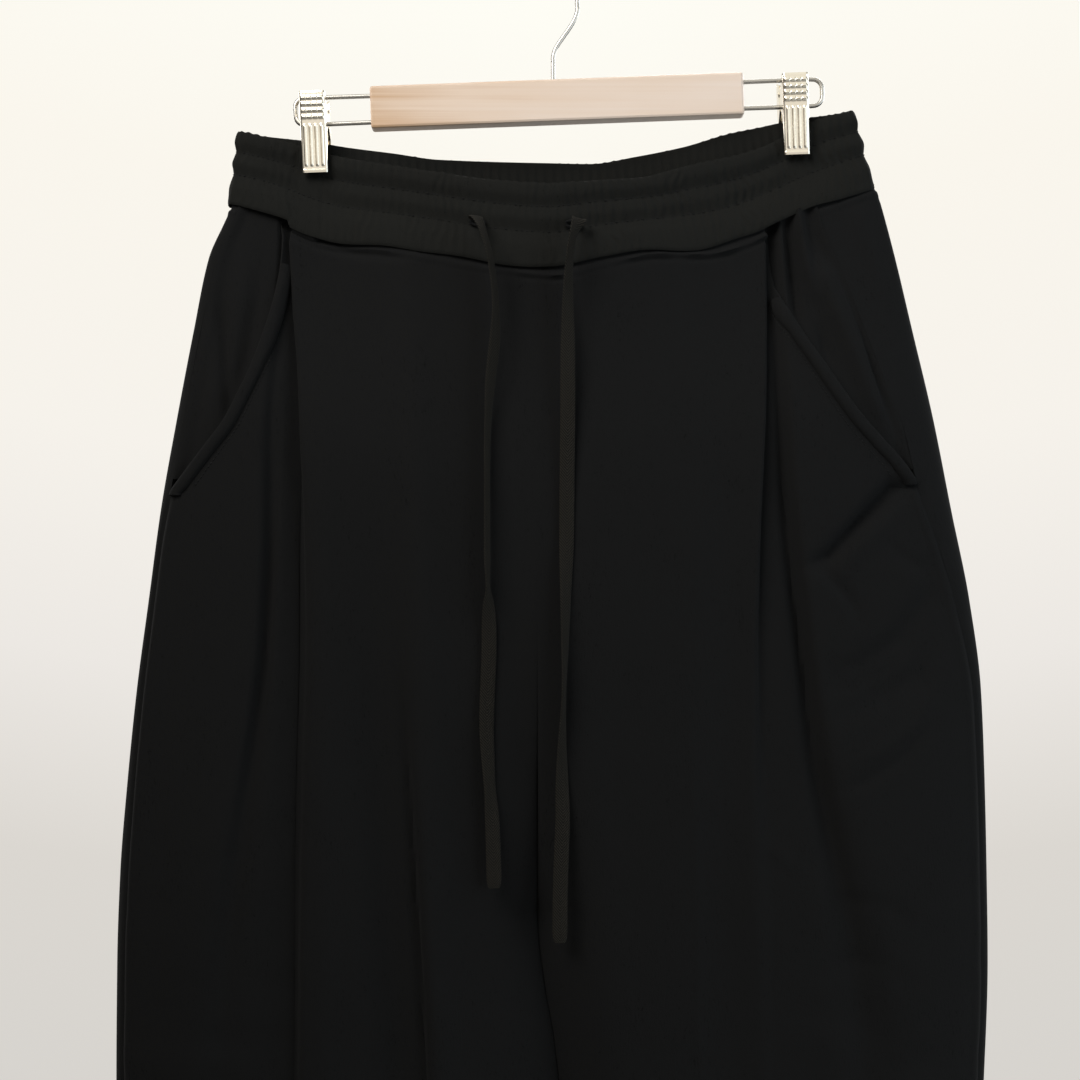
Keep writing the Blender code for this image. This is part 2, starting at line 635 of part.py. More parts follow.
def closed_mesh(name, points, faces, kind):
    mesh = bpy.data.meshes.new(name)
    mesh.from_pydata([tuple(p) for p in points], [], faces)
    shape = bmesh.new()
    shape.from_mesh(mesh)
    bmesh.ops.recalc_face_normals(shape, faces=shape.faces)
    if shape.calc_volume(signed=True) < 0.0:
        bmesh.ops.reverse_faces(shape, faces=shape.faces)
    shape.to_mesh(mesh)
    shape.free()
    mesh.shade_smooth()
    mesh.set_sharp_from_angle(angle=math.radians(50))
    return add_object(name, mesh, kind)


def pocket_rows(side, rows):
    """The rows with the pocket's lower end in place of its nominal row."""
    return [POCKET_END[side] if i == POCKET_ROW else row for i, row in enumerate(rows)]


def hem_thickness(row):
    return np.where(row > HEM_DOWN - HEM_HEIGHT - 2.0, HEM_WALL, CLOTH)


def seam_columns(side, face, points, normals, column, rows):
    """Turn the normals of the middle seam and inseam into the plane that both of its panels share."""
    along = np.gradient(points[column], axis=0)
    above = rows < CROTCH_DOWN - 1.0
    crotch = np.abs(rows - CROTCH_DOWN) <= 1.0
    forward = -1.0 if face == "front" else 1.0
    sign = sign_of(side)
    torso = unit(np.cross(along, (1.0, 0.0, 0.0)))
    torso *= np.where(torso[:, 1] * forward < 0.0, -1.0, 1.0)[:, None]
    leg = unit(np.cross(along, (0.0, 1.0, 0.0)))
    leg *= np.where(leg[:, 0] * sign > 0.0, -1.0, 1.0)[:, None]
    corner = unit(np.array([-sign * 0.5, forward * 0.5, -0.7]))
    normals[column] = np.where(above[:, None], torso, leg)
    normals[column][crotch] = corner


def keep_clear(side, face, outer, inner, rows):
    """Stop both faces of a panel just short of the plane between the legs and of its inseam."""
    sign, forward = sign_of(side), (-1.0 if face == "front" else 1.0)
    press = smoothstep(VALLEY_DOWN, CROTCH_DOWN, rows)[None, :]
    for layer, depth in ((outer, 0.0), (inner, CLOTH)):
        down = -layer[..., 2]
        limit = sign * BETWEEN.at("line", down) + SEAM_GAP / 2 + depth * press
        out = sign * layer[..., 0]
        layer[..., 0] = sign * np.maximum(out, limit)
        inside = (out < inner_edge(side, down) + 30.0) & (rows[None, :] > CROTCH_DOWN - 60.0)
        y = forward * layer[..., 1]
        layer[..., 1] = forward * np.where(inside, np.maximum(y, SEAM_GAP / 2), y)


def panel_walls(side, face, surface, u, rows, facing_out, middle_column):
    columns, heights = np.meshgrid(u, rows, indexing="ij")
    points = surface(columns, heights)
    normals = normals_of(surface, columns, heights, facing_out)
    seam_columns(side, face, points, normals, middle_column, rows)
    half = CLOTH / 2
    outer = points + normals * half
    inner = points - normals * (hem_thickness(heights)[..., None] - half)
    keep_clear(side, face, outer, inner, rows)
    return outer, inner


def trim_column(grid, column, towards, amount):
    """Pull an edge column of a wall a little towards its neighbour, to leave the seam's gap."""
    way = unit(grid[towards] - grid[column])
    grid[column] = grid[column] + way * amount


def add_front_panel(side):
    rows = np.array(pocket_rows(side, ROWS), float)
    u = np.concatenate([BAND_COLUMNS, (0.25, 0.5, 0.75, 1.0), 1 + np.arange(1, 11) / 11.0,
                        2 + np.array((0.0, 0.05, 0.12, 0.23, 0.36, 0.5, 0.65, 0.8, 0.91, 1.0))])
    facing_out = sign_of(side)
    outer, inner = panel_walls(side, "front", lambda a, b: front_surface(side, a, b), u, rows, facing_out, -1)
    for grid in (outer, inner):
        trim_column(grid, 0, 1, SEAM_GAP / 2)
    add_pocket_band(side, outer, inner)
    return wall_solid(f"front_{side}", outer, inner, "black_sweat_fabric")


def add_back_panel(side):
    rows = np.array(pocket_rows(side, ROWS), float)
    u = np.concatenate([np.linspace(0, 1, 11), 1 + np.array([0.35, 0.7, 1.0])])
    outer, inner = panel_walls(side, "back", lambda a, b: back_surface(side, a, b), u, rows, sign_of(side), 0)
    for grid in (outer, inner):
        trim_column(grid, -1, -2, SEAM_GAP / 2)
    return wall_solid(f"back_{side}", outer, inner, "black_sweat_fabric")


def add_facing(side):
    ends = (*[row for row in ROWS if row < POCKET_END[side] - 20.0], POCKET_END[side] - 18.0)
    rows = np.array((*ends, POCKET_END[side] - 9.0), float)
    u = np.array((0.0, 0.12, 0.3, 0.5, 0.75, 1.0, 1.35, 2.0))
    columns, heights = np.meshgrid(u, rows, indexing="ij")

    def surface(a, b):
        return facing_surface(side, a, b)

    points = surface(columns, heights)
    normals = normals_of(surface, columns, heights, sign_of(side))
    level = points - normals * facing_drop(side, columns, heights)[..., None]
    outer, inner = level + normals * CLOTH / 2, level - normals * CLOTH / 2
    for grid in (outer, inner):
        trim_column(grid, 0, 1, SEAM_GAP / 2)
    return wall_solid(f"pocket_facing_{side}", outer, inner, "black_sweat_fabric")


def add_pocket_band(side, outer, inner):
    """Rolled edge of the pocket mouth, made from the front panel's own points, moved out."""
    columns, rows = slice(0, len(BAND_COLUMNS)), slice(POCKET_BAND_ROW[side], POCKET_ROW)
    skin = outer[columns, rows]
    normals = unit(skin - inner[columns, rows])
    crown = np.array(BAND_CROWN)[:, None, None] * POCKET_BAND_WALL
    base = skin + normals * SEAM_GAP
    return wall_solid(f"pocket_band_{side}", base + normals * crown, base, "black_sweat_fabric")


# ---- Waistband ----


def band_point(level, face, across):
    """Point of the waistband's outside at its top or its seam."""
    left, right = BAND_ENDS[level]
    cap = np.sqrt(np.maximum(1.0 - np.abs(across) ** CAP_POWER, 0.0))
    depth = BAND_DEPTH.at(f"{level}_{face}", across) * cap
    forward = -1.0 if face == "front" else 1.0
    x = (left + right) / 2 + across * (right - left) / 2
    return np.stack([x, forward * depth, -BAND_DOWN.at(f"{level}_{face}", across)], axis=-1)


def band_loop(level, angles):
    """Closed loop at the top or the seam, from the left end along the front and home along the back."""
    across = -np.cos(angles)
    front = (np.mod(angles, 2 * math.pi) <= math.pi)[..., None]
    return np.where(front, band_point(level, "front", across), band_point(level, "back", across))


def even_angles(count):
    """Angles at which the loop's columns lie an even distance apart along the waistband."""
    fine = np.linspace(0.0, 2 * math.pi, 4001)
    loop = (band_loop("top", fine) + band_loop("seam", fine)) / 2
    run = np.concatenate([[0.0], np.cumsum(np.linalg.norm(np.diff(loop, axis=0), axis=1))])
    return np.interp(np.arange(count) * run[-1] / count, run, fine)


def band_surface(angles, height):
    """Points of the waistband's plain outside for columns (angles) and heights 0..1."""
    top, seam = band_loop("top", angles), band_loop("seam", angles)
    drop = smoothstep(0.4, 1.0, height)[..., None]
    share = height[..., None]
    points = top + (seam - top) * share
    points[..., 1] = (top[..., 1:2] + (seam[..., 1:2] - top[..., 1:2]) * drop)[..., 0]
    return points


def band_normals(angles, height):
    step = 0.003
    across = band_surface(angles + step, height) - band_surface(angles - step, height)
    across[..., 2] = 0.0
    return unit(np.stack([across[..., 1], -across[..., 0], np.zeros_like(across[..., 0])], axis=-1))


def clip_calm(angles):
    """Gathers and channels lie flatter under the clips."""
    across = -np.cos(angles)
    near = [np.exp(-(((across - place) / 0.06) ** 2)) for place in CLIP_ACROSS]
    return 1.0 - 0.6 * np.maximum(near[0], near[1])


def add_waistband():
    columns = GATHERS * 2
    angles = even_angles(columns)
    heights = BAND_RELIEF.rows[:, 0]
    grid_a, grid_h = np.meshgrid(angles, heights, indexing="ij")
    points, normals = band_surface(grid_a, grid_h), band_normals(grid_a, grid_h)
    number = np.arange(columns)[:, None]
    crest = np.where(number % 2 == 0, 1.0, -1.0) * (0.8 + 0.2 * np.sin(number * 1.7 + 2.3 * grid_h))
    relief = BAND_RELIEF.rows[:, 1][None, :] + BAND_RELIEF.rows[:, 2][None, :] * crest
    outer = points + normals * (relief * clip_calm(grid_a))[..., None]
    inner_a, inner_h = np.meshgrid(angles[::INNER_EVERY], np.array((0.0, 0.3, 1.0)), indexing="ij")
    wall = np.array((BAND_WALL - 1.2, BAND_WALL, BAND_WALL))[None, :, None]
    inner = band_surface(inner_a, inner_h) - band_normals(inner_a, inner_h) * wall
    return ring_solid("waistband", outer, inner, "black_waistband")


def ring_solid(name, outer, inner, kind):
    """Close a ring whose inside has fewer columns than its outside."""
    points = np.concatenate([outer.reshape(-1, 3), inner.reshape(-1, 3)]) * MM
    columns, rows = outer.shape[:2]
    few, inner_rows = inner.shape[:2]
    faces = []
    for i in range(columns):
        for j in range(rows - 1):
            a, b = i * rows + j, (i + 1) % columns * rows + j
            faces += [(a, b, b + 1), (a, b + 1, a + 1)]
    base = columns * rows
    for i in range(few):
        for j in range(inner_rows - 1):
            a, b = base + i * inner_rows + j, base + (i + 1) % few * inner_rows + j
            faces += [(a, b + 1, b), (a, a + 1, b + 1)]
    every = columns // few
    for outer_row, inner_row in ((0, 0), (rows - 1, inner_rows - 1)):
        for i in range(few):
            a, b = base + i * inner_rows + inner_row, base + (i + 1) % few * inner_rows + inner_row
            fan = [(i * every + k) % columns * rows + outer_row for k in range(every + 1)]
            half = every // 2
            faces += [(fan[k], fan[k + 1], a) for k in range(half)]
            faces += [(fan[half], b, a)]
            faces += [(fan[k], fan[k + 1], b) for k in range(half, every)]
    return closed_mesh(name, points, faces, kind)


# ---- Cords and wires ----


def curve_through(route, count):
    """Even points along a smooth curve (centripetal splines) through the route's points."""
    route = [np.array(p, float) for p in route]
    ends = [2 * route[0] - route[1], *route, 2 * route[-1] - route[-2]]
    fine = []
    for p0, p1, p2, p3 in zip(ends, ends[1:], ends[2:], ends[3:]):
        t0, t1 = 0.0, np.linalg.norm(p1 - p0) ** 0.5
        t2 = t1 + np.linalg.norm(p2 - p1) ** 0.5
        t3 = t2 + np.linalg.norm(p3 - p2) ** 0.5
        for t in np.linspace(t1, t2, 12, endpoint=False):
            a1 = (t1 - t) / (t1 - t0) * p0 + (t - t0) / (t1 - t0) * p1
            a2 = (t2 - t) / (t2 - t1) * p1 + (t - t1) / (t2 - t1) * p2
            a3 = (t3 - t) / (t3 - t2) * p2 + (t - t2) / (t3 - t2) * p3
            b1 = (t2 - t) / (t2 - t0) * a1 + (t - t0) / (t2 - t0) * a2
            b2 = (t3 - t) / (t3 - t1) * a2 + (t - t1) / (t3 - t1) * a3
            fine.append((t2 - t) / (t2 - t1) * b1 + (t - t1) / (t2 - t1) * b2)
    fine = np.array([*fine, route[-1]])
    run = np.concatenate([[0.0], np.cumsum(np.linalg.norm(np.diff(fine, axis=0), axis=1))])
    at = np.linspace(0.0, run[-1], count)
    return np.stack([np.interp(at, run, fine[:, k]) for k in range(3)], axis=-1)


def add_tube(name, points, diameter, kind, radii=None):
    curve = bpy.data.curves.new(name, "CURVE")
    curve.dimensions = "3D"
    curve.bevel_depth = diameter / 2 * MM
    curve.bevel_resolution = 2
    curve.use_fill_caps = True
    spline = curve.splines.new("POLY")
    spline.points.add(len(points) - 1)
    for i, point in enumerate(points):
        spline.points[i].co = (*[c * MM for c in point], 1.0)
        spline.points[i].radius = radii[i] if radii else 1.0
    return add_object(name, curve, kind)


def add_drawstrings():
    for name, route in CORDS.items():
        points = curve_through([(x, y, -down) for x, y, down in route], CORD_POINTS)
        add_tube(name, points, CORD_WIDTH, "black_brown_braid")


# ---- Hanger ----


def hanger_matrix():
    place = Matrix.Translation(Vector(BAR_CENTRE) * MM)
    return place @ Matrix.Rotation(math.radians(-BAR_TILT), 4, "Y")


def add_bar():
    shape = bmesh.new()
    bmesh.ops.create_cube(shape, size=1.0)
    bmesh.ops.scale(shape, vec=[size * MM for size in BAR_SIZE], verts=shape.verts)
    bmesh.ops.bevel(shape, geom=shape.edges[:], offset=BAR_EDGE * MM, segments=2, profile=0.5, affect="EDGES")
    mesh = bpy.data.meshes.new("hanger_bar")
    shape.to_mesh(mesh)
    shape.free()
    mesh.shade_smooth()
    mesh.set_sharp_from_angle(angle=math.radians(40))
    bar = add_object("hanger_bar", mesh, "pale_wood")
    bar.matrix_world = hanger_matrix()


def rack_route(side):
    """A U of wire from the end of the bar round the far end of the rack and back."""
    sign = sign_of(side)
    near = BAR_SIZE[0] / 2 + SEAM_GAP
    far = abs(RACK_REACH[side])
    high, corner = RACK_HALF_HEIGHT, RACK_CORNER
    route = [(sign * near, 0.0, high)]
    for angle in range(90, -91, -15):
        turn = math.radians(angle)
        middle = high - corner if angle >= 0 else corner - high
        x = far - corner + corner * math.cos(turn)
        route.append((sign * x, 0.0, middle + corner * math.sin(turn)))
    route.append((sign * near, 0.0, -high))
    return route


def hook_route():
    """Stem, S-bend, round hook and straight tip, in the XZ plane."""
    centre_x, centre_z = HOOK_CENTRE
    stem_bottom = bar_top_at(STEM_X) + SEAM_GAP
    s_bend = [(STEM_X, 0.0, stem_bottom), (STEM_X, 0.0, -66.0), (2.8, 0.0, -60.0), (4.3, 0.0, -55.0),
              (8.6, 0.0, -48.2), (13.8, 0.0, -40.8), (17.4, 0.0, -34.2), (19.2, 0.0, -26.5)]
    points = [tuple(p) for p in curve_through(s_bend, 16)][:-1]
    for angle in range(-20, int(HOOK_END_ANGLE) + 1, 15):
        turn = math.radians(angle)
        points.append((centre_x + HOOK_RADIUS * math.cos(turn), 0.0, centre_z + HOOK_RADIUS * math.sin(turn)))
    turn = math.radians(HOOK_END_ANGLE)
    end = np.array((centre_x + HOOK_RADIUS * math.cos(turn), 0.0, centre_z + HOOK_RADIUS * math.sin(turn)))
    way = np.array((-math.sin(turn), 0.0, math.cos(turn)))
    points += [tuple(end + way * run) for run in (0.4, HOOK_TIP * 0.5, HOOK_TIP)]
    return points, end + way * HOOK_TIP, way


def bar_top_at(x):
    tilt = math.radians(BAR_TILT)
    return BAR_CENTRE[2] + (x - BAR_CENTRE[0]) * math.tan(tilt) + BAR_SIZE[2] / 2 / math.cos(tilt)


def add_hook():
    points, end, way = hook_route()
    radii = [1.0] * len(points)
    ball = HOOK_BALL / (WIRE / 2)
    for angle in (30, 60, 90, 120, 150):
        turn = math.radians(angle)
        points.append(tuple(end + way * HOOK_BALL * (1.0 - math.cos(turn))))
        radii.append(ball * math.sin(turn))
    add_tube("hook", points, WIRE, "steel_wire", radii)


def jaw_grid(back):
    """Middle surface of a jaw: a channel of plate with its flanges turned in towards the wires."""
    rows = JAW.rows[JAW.rows[:, 3] == 0.0] if back else JAW.rows
    below, plate, flange, ridge = rows.T
    half = (CLIP_WIDTH - CLIP_WALL) / 2
    places = (0.0,) if back else PLATE_PLACES
    columns = [(-half, flange, 0.0), (-half, plate, 0.0)]
    columns += [(x, plate, 1.0 if x in RIB_PLACES else 0.0) for x in places]
    columns += [(half, plate, 0.0), (half, flange, 0.0)]
    points = np.array([[(x, -y, -z) for y, z in zip(depth, below)] for x, depth, _ in columns])
    ribbed = (below >= RIB_START) & (below < JAW_LIP)
    raised = np.array([rib * ribbed * RIB_HEIGHT + ridge * (abs(x) < half) for x, _, rib in columns])
    return points, raised * (0.0 if back else 1.0)


def grid_normals(points):
    """Normals of a grid of points from its neighbours."""
    return unit(np.cross(np.gradient(points, axis=0), np.gradient(points, axis=1)))


def add_jaw(side, back):
    points, raised = jaw_grid(back)
    normals = grid_normals(points)
    normals[0], normals[-1] = (-1.0, 0.0, 0.0), (1.0, 0.0, 0.0)
    normals *= np.where(np.sum(normals * (points * (0.2, 1.0, 0.0)), axis=-1) < 0.0, -1.0, 1.0)[..., None]
    outer = points + normals * (CLIP_WALL / 2)
    outer[..., 1] -= raised
    inner = points - normals * (CLIP_WALL / 2)
    if back:
        outer[..., 1], inner[..., 1] = -outer[..., 1], -inner[..., 1]
    name = f"clip_{'back' if back else 'front'}_{side}"
    jaw = wall_solid(name, outer, inner, "nickel_plate")
    x, z = CLIP_CENTRE[side]
    jaw.matrix_world = hanger_matrix() @ Matrix.Translation(Vector((x, 0.0, z)) * MM)


def add_spring(side):
    """Barrel of the spring, round the lower wire of the rack."""
    sides, half = SPRING["sides"], SPRING["length"] / 2
    rings = [(SPRING["outer"], -half), (SPRING["outer"], half), (SPRING["inner"], half), (SPRING["inner"], -half)]
    points, faces = [], []
    for i in range(sides):
        turn = 2 * math.pi * i / sides
        points += [(x, radius * math.cos(turn), radius * math.sin(turn)) for radius, x in rings]
    for i in range(sides):
        a, b = i * 4, (i + 1) % sides * 4
        faces += [(a + k, b + k, b + (k + 1) % 4, a + (k + 1) % 4) for k in range(4)]
    name = f"clip_spring_{side}"
    spring = closed_mesh(name, np.array(points) * MM, faces, "steel_wire")
    x, _ = CLIP_CENTRE[side]
    spring.matrix_world = hanger_matrix() @ Matrix.Translation(Vector((x, 0.0, -RACK_HALF_HEIGHT)) * MM)


def add_hanger():
    add_bar()
    add_hook()
    for side in ("left", "right"):
        wire = add_tube(f"rack_wire_{side}", rack_route(side), WIRE, "steel_wire")
        wire.matrix_world = hanger_matrix()
        add_jaw(side, back=False)
        add_jaw(side, back=True)
        add_spring(side)


def main():
    for obj in list(bpy.data.objects):
        bpy.data.objects.remove(obj, do_unlink=True)
    add_waistband()
    for side in ("left", "right"):
        add_front_panel(side)
        add_back_panel(side)
        add_facing(side)
    add_drawstrings()
    add_hanger()
    bpy.context.view_layer.update()


main()
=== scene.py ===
"""Looks of the wide-legged sweatpants on their clip hanger.

The visible cloth is made from the same sections as the solids, on finer grids, with the smaller creases,
gathers and stitching added. Tables are in millimetres and degrees; "down" is the distance below the hook's
inner top, and "out" the distance from the middle plane towards the left or the right side.
"""

import math

import bpy
import numpy as np
from mathutils import Matrix, Vector


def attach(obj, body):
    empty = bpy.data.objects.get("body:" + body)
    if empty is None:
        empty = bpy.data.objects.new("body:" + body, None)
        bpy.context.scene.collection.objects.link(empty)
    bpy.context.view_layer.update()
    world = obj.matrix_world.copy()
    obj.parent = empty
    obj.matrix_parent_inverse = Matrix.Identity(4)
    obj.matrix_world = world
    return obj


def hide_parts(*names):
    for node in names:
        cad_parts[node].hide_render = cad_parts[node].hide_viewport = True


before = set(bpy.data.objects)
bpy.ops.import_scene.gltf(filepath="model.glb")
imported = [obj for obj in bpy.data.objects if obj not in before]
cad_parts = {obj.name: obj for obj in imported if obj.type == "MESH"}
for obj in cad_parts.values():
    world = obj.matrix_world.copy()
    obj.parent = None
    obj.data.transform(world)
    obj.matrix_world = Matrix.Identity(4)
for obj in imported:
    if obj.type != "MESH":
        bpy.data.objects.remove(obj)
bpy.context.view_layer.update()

MM = 0.001

# Cloth, seams and hem
CLOTH = 1.8
BAND_WALL = 4.2
HEM_WALL = 3.2
HEM_HEIGHT = 25.0
WAIST_GAP = 0.8  # every row lies this far below its nominal height
SEAM_DOWN = 182.0  # nominal height of the seam below the waistband
CROTCH_DOWN = 612.0
HEM_DOWN = 1120.0
WAIST_BLEND = 150.0  # below the waistband the panels take this height to reach their own section
VALLEY_DOWN = 400.0  # where the valley between the legs starts
VALLEY_REACH = 70.0  # beyond this distance from the middle the legs part gently
LENS_POWER = 3.0  # roundness of the body's section: 2 is an ellipse, more is flatter in the middle
CAP_POWER = 12.0  # roundness of the ends of the waistband's section

GATHERS = 140  # round the waistband
BAND_PROUD = 1.3  # how far the waistband's seam stands before the panels
TUCK = 3.6  # the panels go on this far up behind the waistband
SIDES = ("left", "right")


def smooth(at, knots, values):
    """Read a monotone curve through the knots; level beyond both ends."""
    knots, values = np.asarray(knots, float), np.asarray(values, float)
    step = np.diff(knots)
    slope = np.diff(values) / step
    tangent = np.zeros_like(values)
    tangent[0], tangent[-1] = slope[0], slope[-1]
    product = slope[:-1] * slope[1:]
    rising = product > 0
    total = np.where(rising, slope[:-1] + slope[1:], 1.0)
    tangent[1:-1] = np.where(rising, 2.0 * product / total, 0.0)
    at = np.clip(at, knots[0], knots[-1])
    i = np.clip(np.searchsorted(knots, at, side="right") - 1, 0, len(step) - 1)
    t = (at - knots[i]) / step[i]
    rise = values[i + 1] - values[i]
    bend = 3.0 * rise - step[i] * (2.0 * tangent[i] + tangent[i + 1])
    twist = step[i] * (tangent[i] + tangent[i + 1]) - 2.0 * rise
    return values[i] + t * (step[i] * tangent[i] + t * (bend + t * twist))


def smoothstep(start, end, at):
    t = np.clip((at - start) / (end - start), 0.0, 1.0)
    return t * t * (3.0 - 2.0 * t)


def bell(distance, width):
    """1 at no distance, and next to nothing beyond twice the width."""
    return np.exp(-((distance / width) ** 2))


def run_along(points):
    """Distance from the first point to each point along their line."""
    return np.concatenate([[0.0], np.cumsum(np.linalg.norm(np.diff(points, axis=0), axis=1))])


def round_turn(count):
    """Angles an even distance apart round a full turn."""
    return np.linspace(0.0, 2.0 * math.pi, count, endpoint=False)


class Table:
    """Rows of numbers with named columns, the first of which is the one that the rows are read by."""

    def __init__(self, names, *rows):
        self.names = names.split()
        self.rows = np.array(rows, float)

    def at(self, name, key):
        return smooth(key, self.rows[:, 0], self.rows[:, self.names.index(name)])


# The waistband. "across" runs from -1 at the left end to 1 at the right end.
BAND_ENDS = {"top": (-203.0, 198.5), "seam": (-208.5, 211.5)}
BAND_DOWN = Table(
    "across top_front top_back seam_front seam_back",
    (-1, 109, 109, 158, 158), (-0.9, 114, 111, 163, 161.5), (-0.82, 117.5, 113, 169.5, 164.5),
    (-0.75, 121.6, 115.3, 176.5, 168), (-0.65, 127, 118, 183, 171.5), (-0.5, 133.3, 121, 187, 175),
    (-0.35, 139, 124, 192.5, 178), (-0.15, 145.5, 124.4, 200, 178.5), (0, 148, 124.8, 202.5, 178),
    (0.15, 145.8, 125.5, 196, 177.5), (0.3, 143, 121.5, 190.2, 174.5), (0.45, 134.5, 116.5, 188.5, 167.5),
    (0.6, 126.8, 108.7, 180, 160), (0.7, 120, 105, 169.5, 156.5), (0.8, 109.5, 101, 161, 152.7),
    (0.87, 102.5, 98.5, 156.3, 150.5), (0.94, 98.8, 96.5, 150.5, 148), (1, 95, 95, 146, 146),
)
BAND_DEPTH = Table(
    "across top_front top_back seam_front seam_back",
    (-1, 10, 10, 13, 12), (-0.9, 8.5, 8.5, 13, 11.5), (-0.82, 6.2, 6.2, 13, 11), (-0.79, 5, 5, 12.7, 10.8),
    (-0.71, 5, 5, 12.8, 10.6), (-0.65, 7, 6.5, 14, 11), (-0.5, 12, 10, 18, 14),
    (-0.35, 17.5, 14.5, 23, 17.5), (-0.15, 23, 19, 27, 20), (0, 25, 20, 28, 20.5), (0.15, 24, 19.5, 27, 20),
    (0.3, 20, 16.5, 24, 17.5), (0.45, 14.5, 12, 19.5, 14), (0.6, 9, 8, 15, 11), (0.7, 6.4, 6.2, 13.5, 10.6),
    (0.76, 5, 5, 13, 10.5), (0.85, 5, 5, 13, 10.5), (0.89, 6.8, 6.8, 13, 11), (0.94, 8.5, 8.5, 13, 11.5),
    (1, 10, 10, 13, 12),
)
CLIP_ACROSS = (-0.75, 0.805)
# Body and legs: outer edges, and depth of the front and of the back in front of and behind the middle
OUTLINE = Table(
    "down left right front back",
    (146, -205, 212.5, 24, 20), (159, -207.5, 216.5, 25, 21), (192, -221.3, 225.2, 28, 24),
    (238, -230.8, 236, 31, 28), (296, -241.8, 249.6, 33.5, 31), (355, -252.2, 261.3, 35, 33),
    (413, -260, 273, 36, 34), (472, -267.8, 280.6, 36, 34.5), (530, -273.6, 282.8, 36.5, 35),
    (589, -278.2, 284, 37, 35), (647, -280.2, 284.7, 37, 35), (725, -280.8, 282.1, 36.5, 34),
    (800, -277, 278, 35.5, 33), (900, -266, 268, 33, 31), (1000, -252, 254.5, 30.5, 29),
    (1120, -235, 239, 27, 26),
)
# The line between the legs, and how far each leg's inner edge is from it (below 0 the legs press together)
BETWEEN = Table(
    "down line half_gap",
    (150, -7.2, 0), (612, -7.2, 0), (626, -6.8, -1.5), (655, -3.5, -3), (700, 4, -4), (760, 9, -3),
    (830, 6, 2), (910, 3.5, 10), (1000, 2.5, 24), (1120, 2, 38),
)
# Distance of each side seam from the outer edge, on the front
SIDE_SEAM = Table(
    "down left right",
    (146, 6, 44), (174, 6, 43), (196, 6, 39.5), (238, 6, 34), (273, 6, 29.5), (300, 6, 24.5),
    (338, 6.5, 22.5), (380, 5, 16), (415, 5.5, 12), (480, 6.5, 7), (590, 8.5, 6.5), (725, 7.5, 6.5),
    (1120, 6, 6),
)
# Pocket mouths, as distances out from the middle plane
POCKET = {
    "left": Table(
        "down out",
        (158, 171.2), (190, 172.4), (225, 178), (244, 183.5), (263, 190), (279, 197.3), (298, 207.3),
        (313, 219), (328, 231), (345, 244.5),
    ),
    "right": Table(
        "down out",
        (146, 139.5), (184, 141.2), (209, 144.4), (224, 151.3), (242, 162), (260, 174), (279, 186.6),
        (296, 199.3), (312, 213.9), (325, 226), (338, 236),
    ),
}
POCKET_END = {"left": 345.0, "right": 338.0}
POCKET_BAND_WIDTH = 8.2
POCKET_BAND_START = {"left": 206.0, "right": 226.0}  # where the band comes out of the pleat
POCKET_BAND_RISE = 1.9 * 1.6  # height of the rolled edge: its wall, and the roll on it
POCKET_STITCH_START = {"left": 209.0, "right": 230.0}
FACING_DROP = 3.0  # how far the facing lies under the front panel
FACING_REACH = 14.0  # how far it goes on under the front panel

# Knife pleats: "out" of the folded edge, and the turn, lap and radius of the fold. A turn of 180 degrees is
# a pressed pleat, and as the turn falls it opens into a soft step. "groove" is the place of the valley
# beside it.
PLEAT = {
    "left": Table(
        "down out turn lap radius groove",
        (160, 168, 180, 15, 1.3, 170), (196, 165.4, 178, 11, 1.4, 170.5), (225, 163.4, 170, 6, 1.6, 172),
        (272, 159, 150, 2.5, 2, 175.5), (315, 156.6, 126, 1.5, 2.9, 177.5), (375, 154, 78, 1.5, 4.8, 177.5),
        (437, 152.6, 62, 1.5, 6.4, 179.5), (530, 154, 56, 2, 6.4, 188), (641, 155.5, 62, 3, 4.4, 202),
        (800, 156, 50, 3, 5.5, 211), (950, 153, 28, 3, 8, 205), (1120, 148, 14, 3, 9, 196),
    ),
    "right": Table(
        "down out turn lap radius groove",
        (150, 138.5, 180, 15, 1.3, 141.5), (215, 138.6, 180, 13, 1.3, 144), (286, 136.5, 176, 9, 1.3, 146.5),
        (330, 134.2, 150, 4.5, 1.4, 148.5), (375, 132.2, 112, 1.5, 2, 151.5),
        (437, 130.5, 76, 1.2, 3.3, 158.5), (501, 130.5, 50, 2, 5.4, 166.8), (560, 132, 28, 3, 13, 176.5),
        (640, 134, 14, 3, 20, 190), (800, 136, 7, 3, 26, 200), (1120, 135, 4, 3, 26, 190),
    ),
}
# Depth and half width of that valley
GROOVE_FORM = Table(
    "down depth width",
    (180, 0.5, 4), (260, 2, 4), (330, 3.6, 4), (440, 4.2, 4.5), (500, 3.6, 6), (580, 2.8, 10),
    (700, 1.8, 14), (1120, 0.3, 16),
)

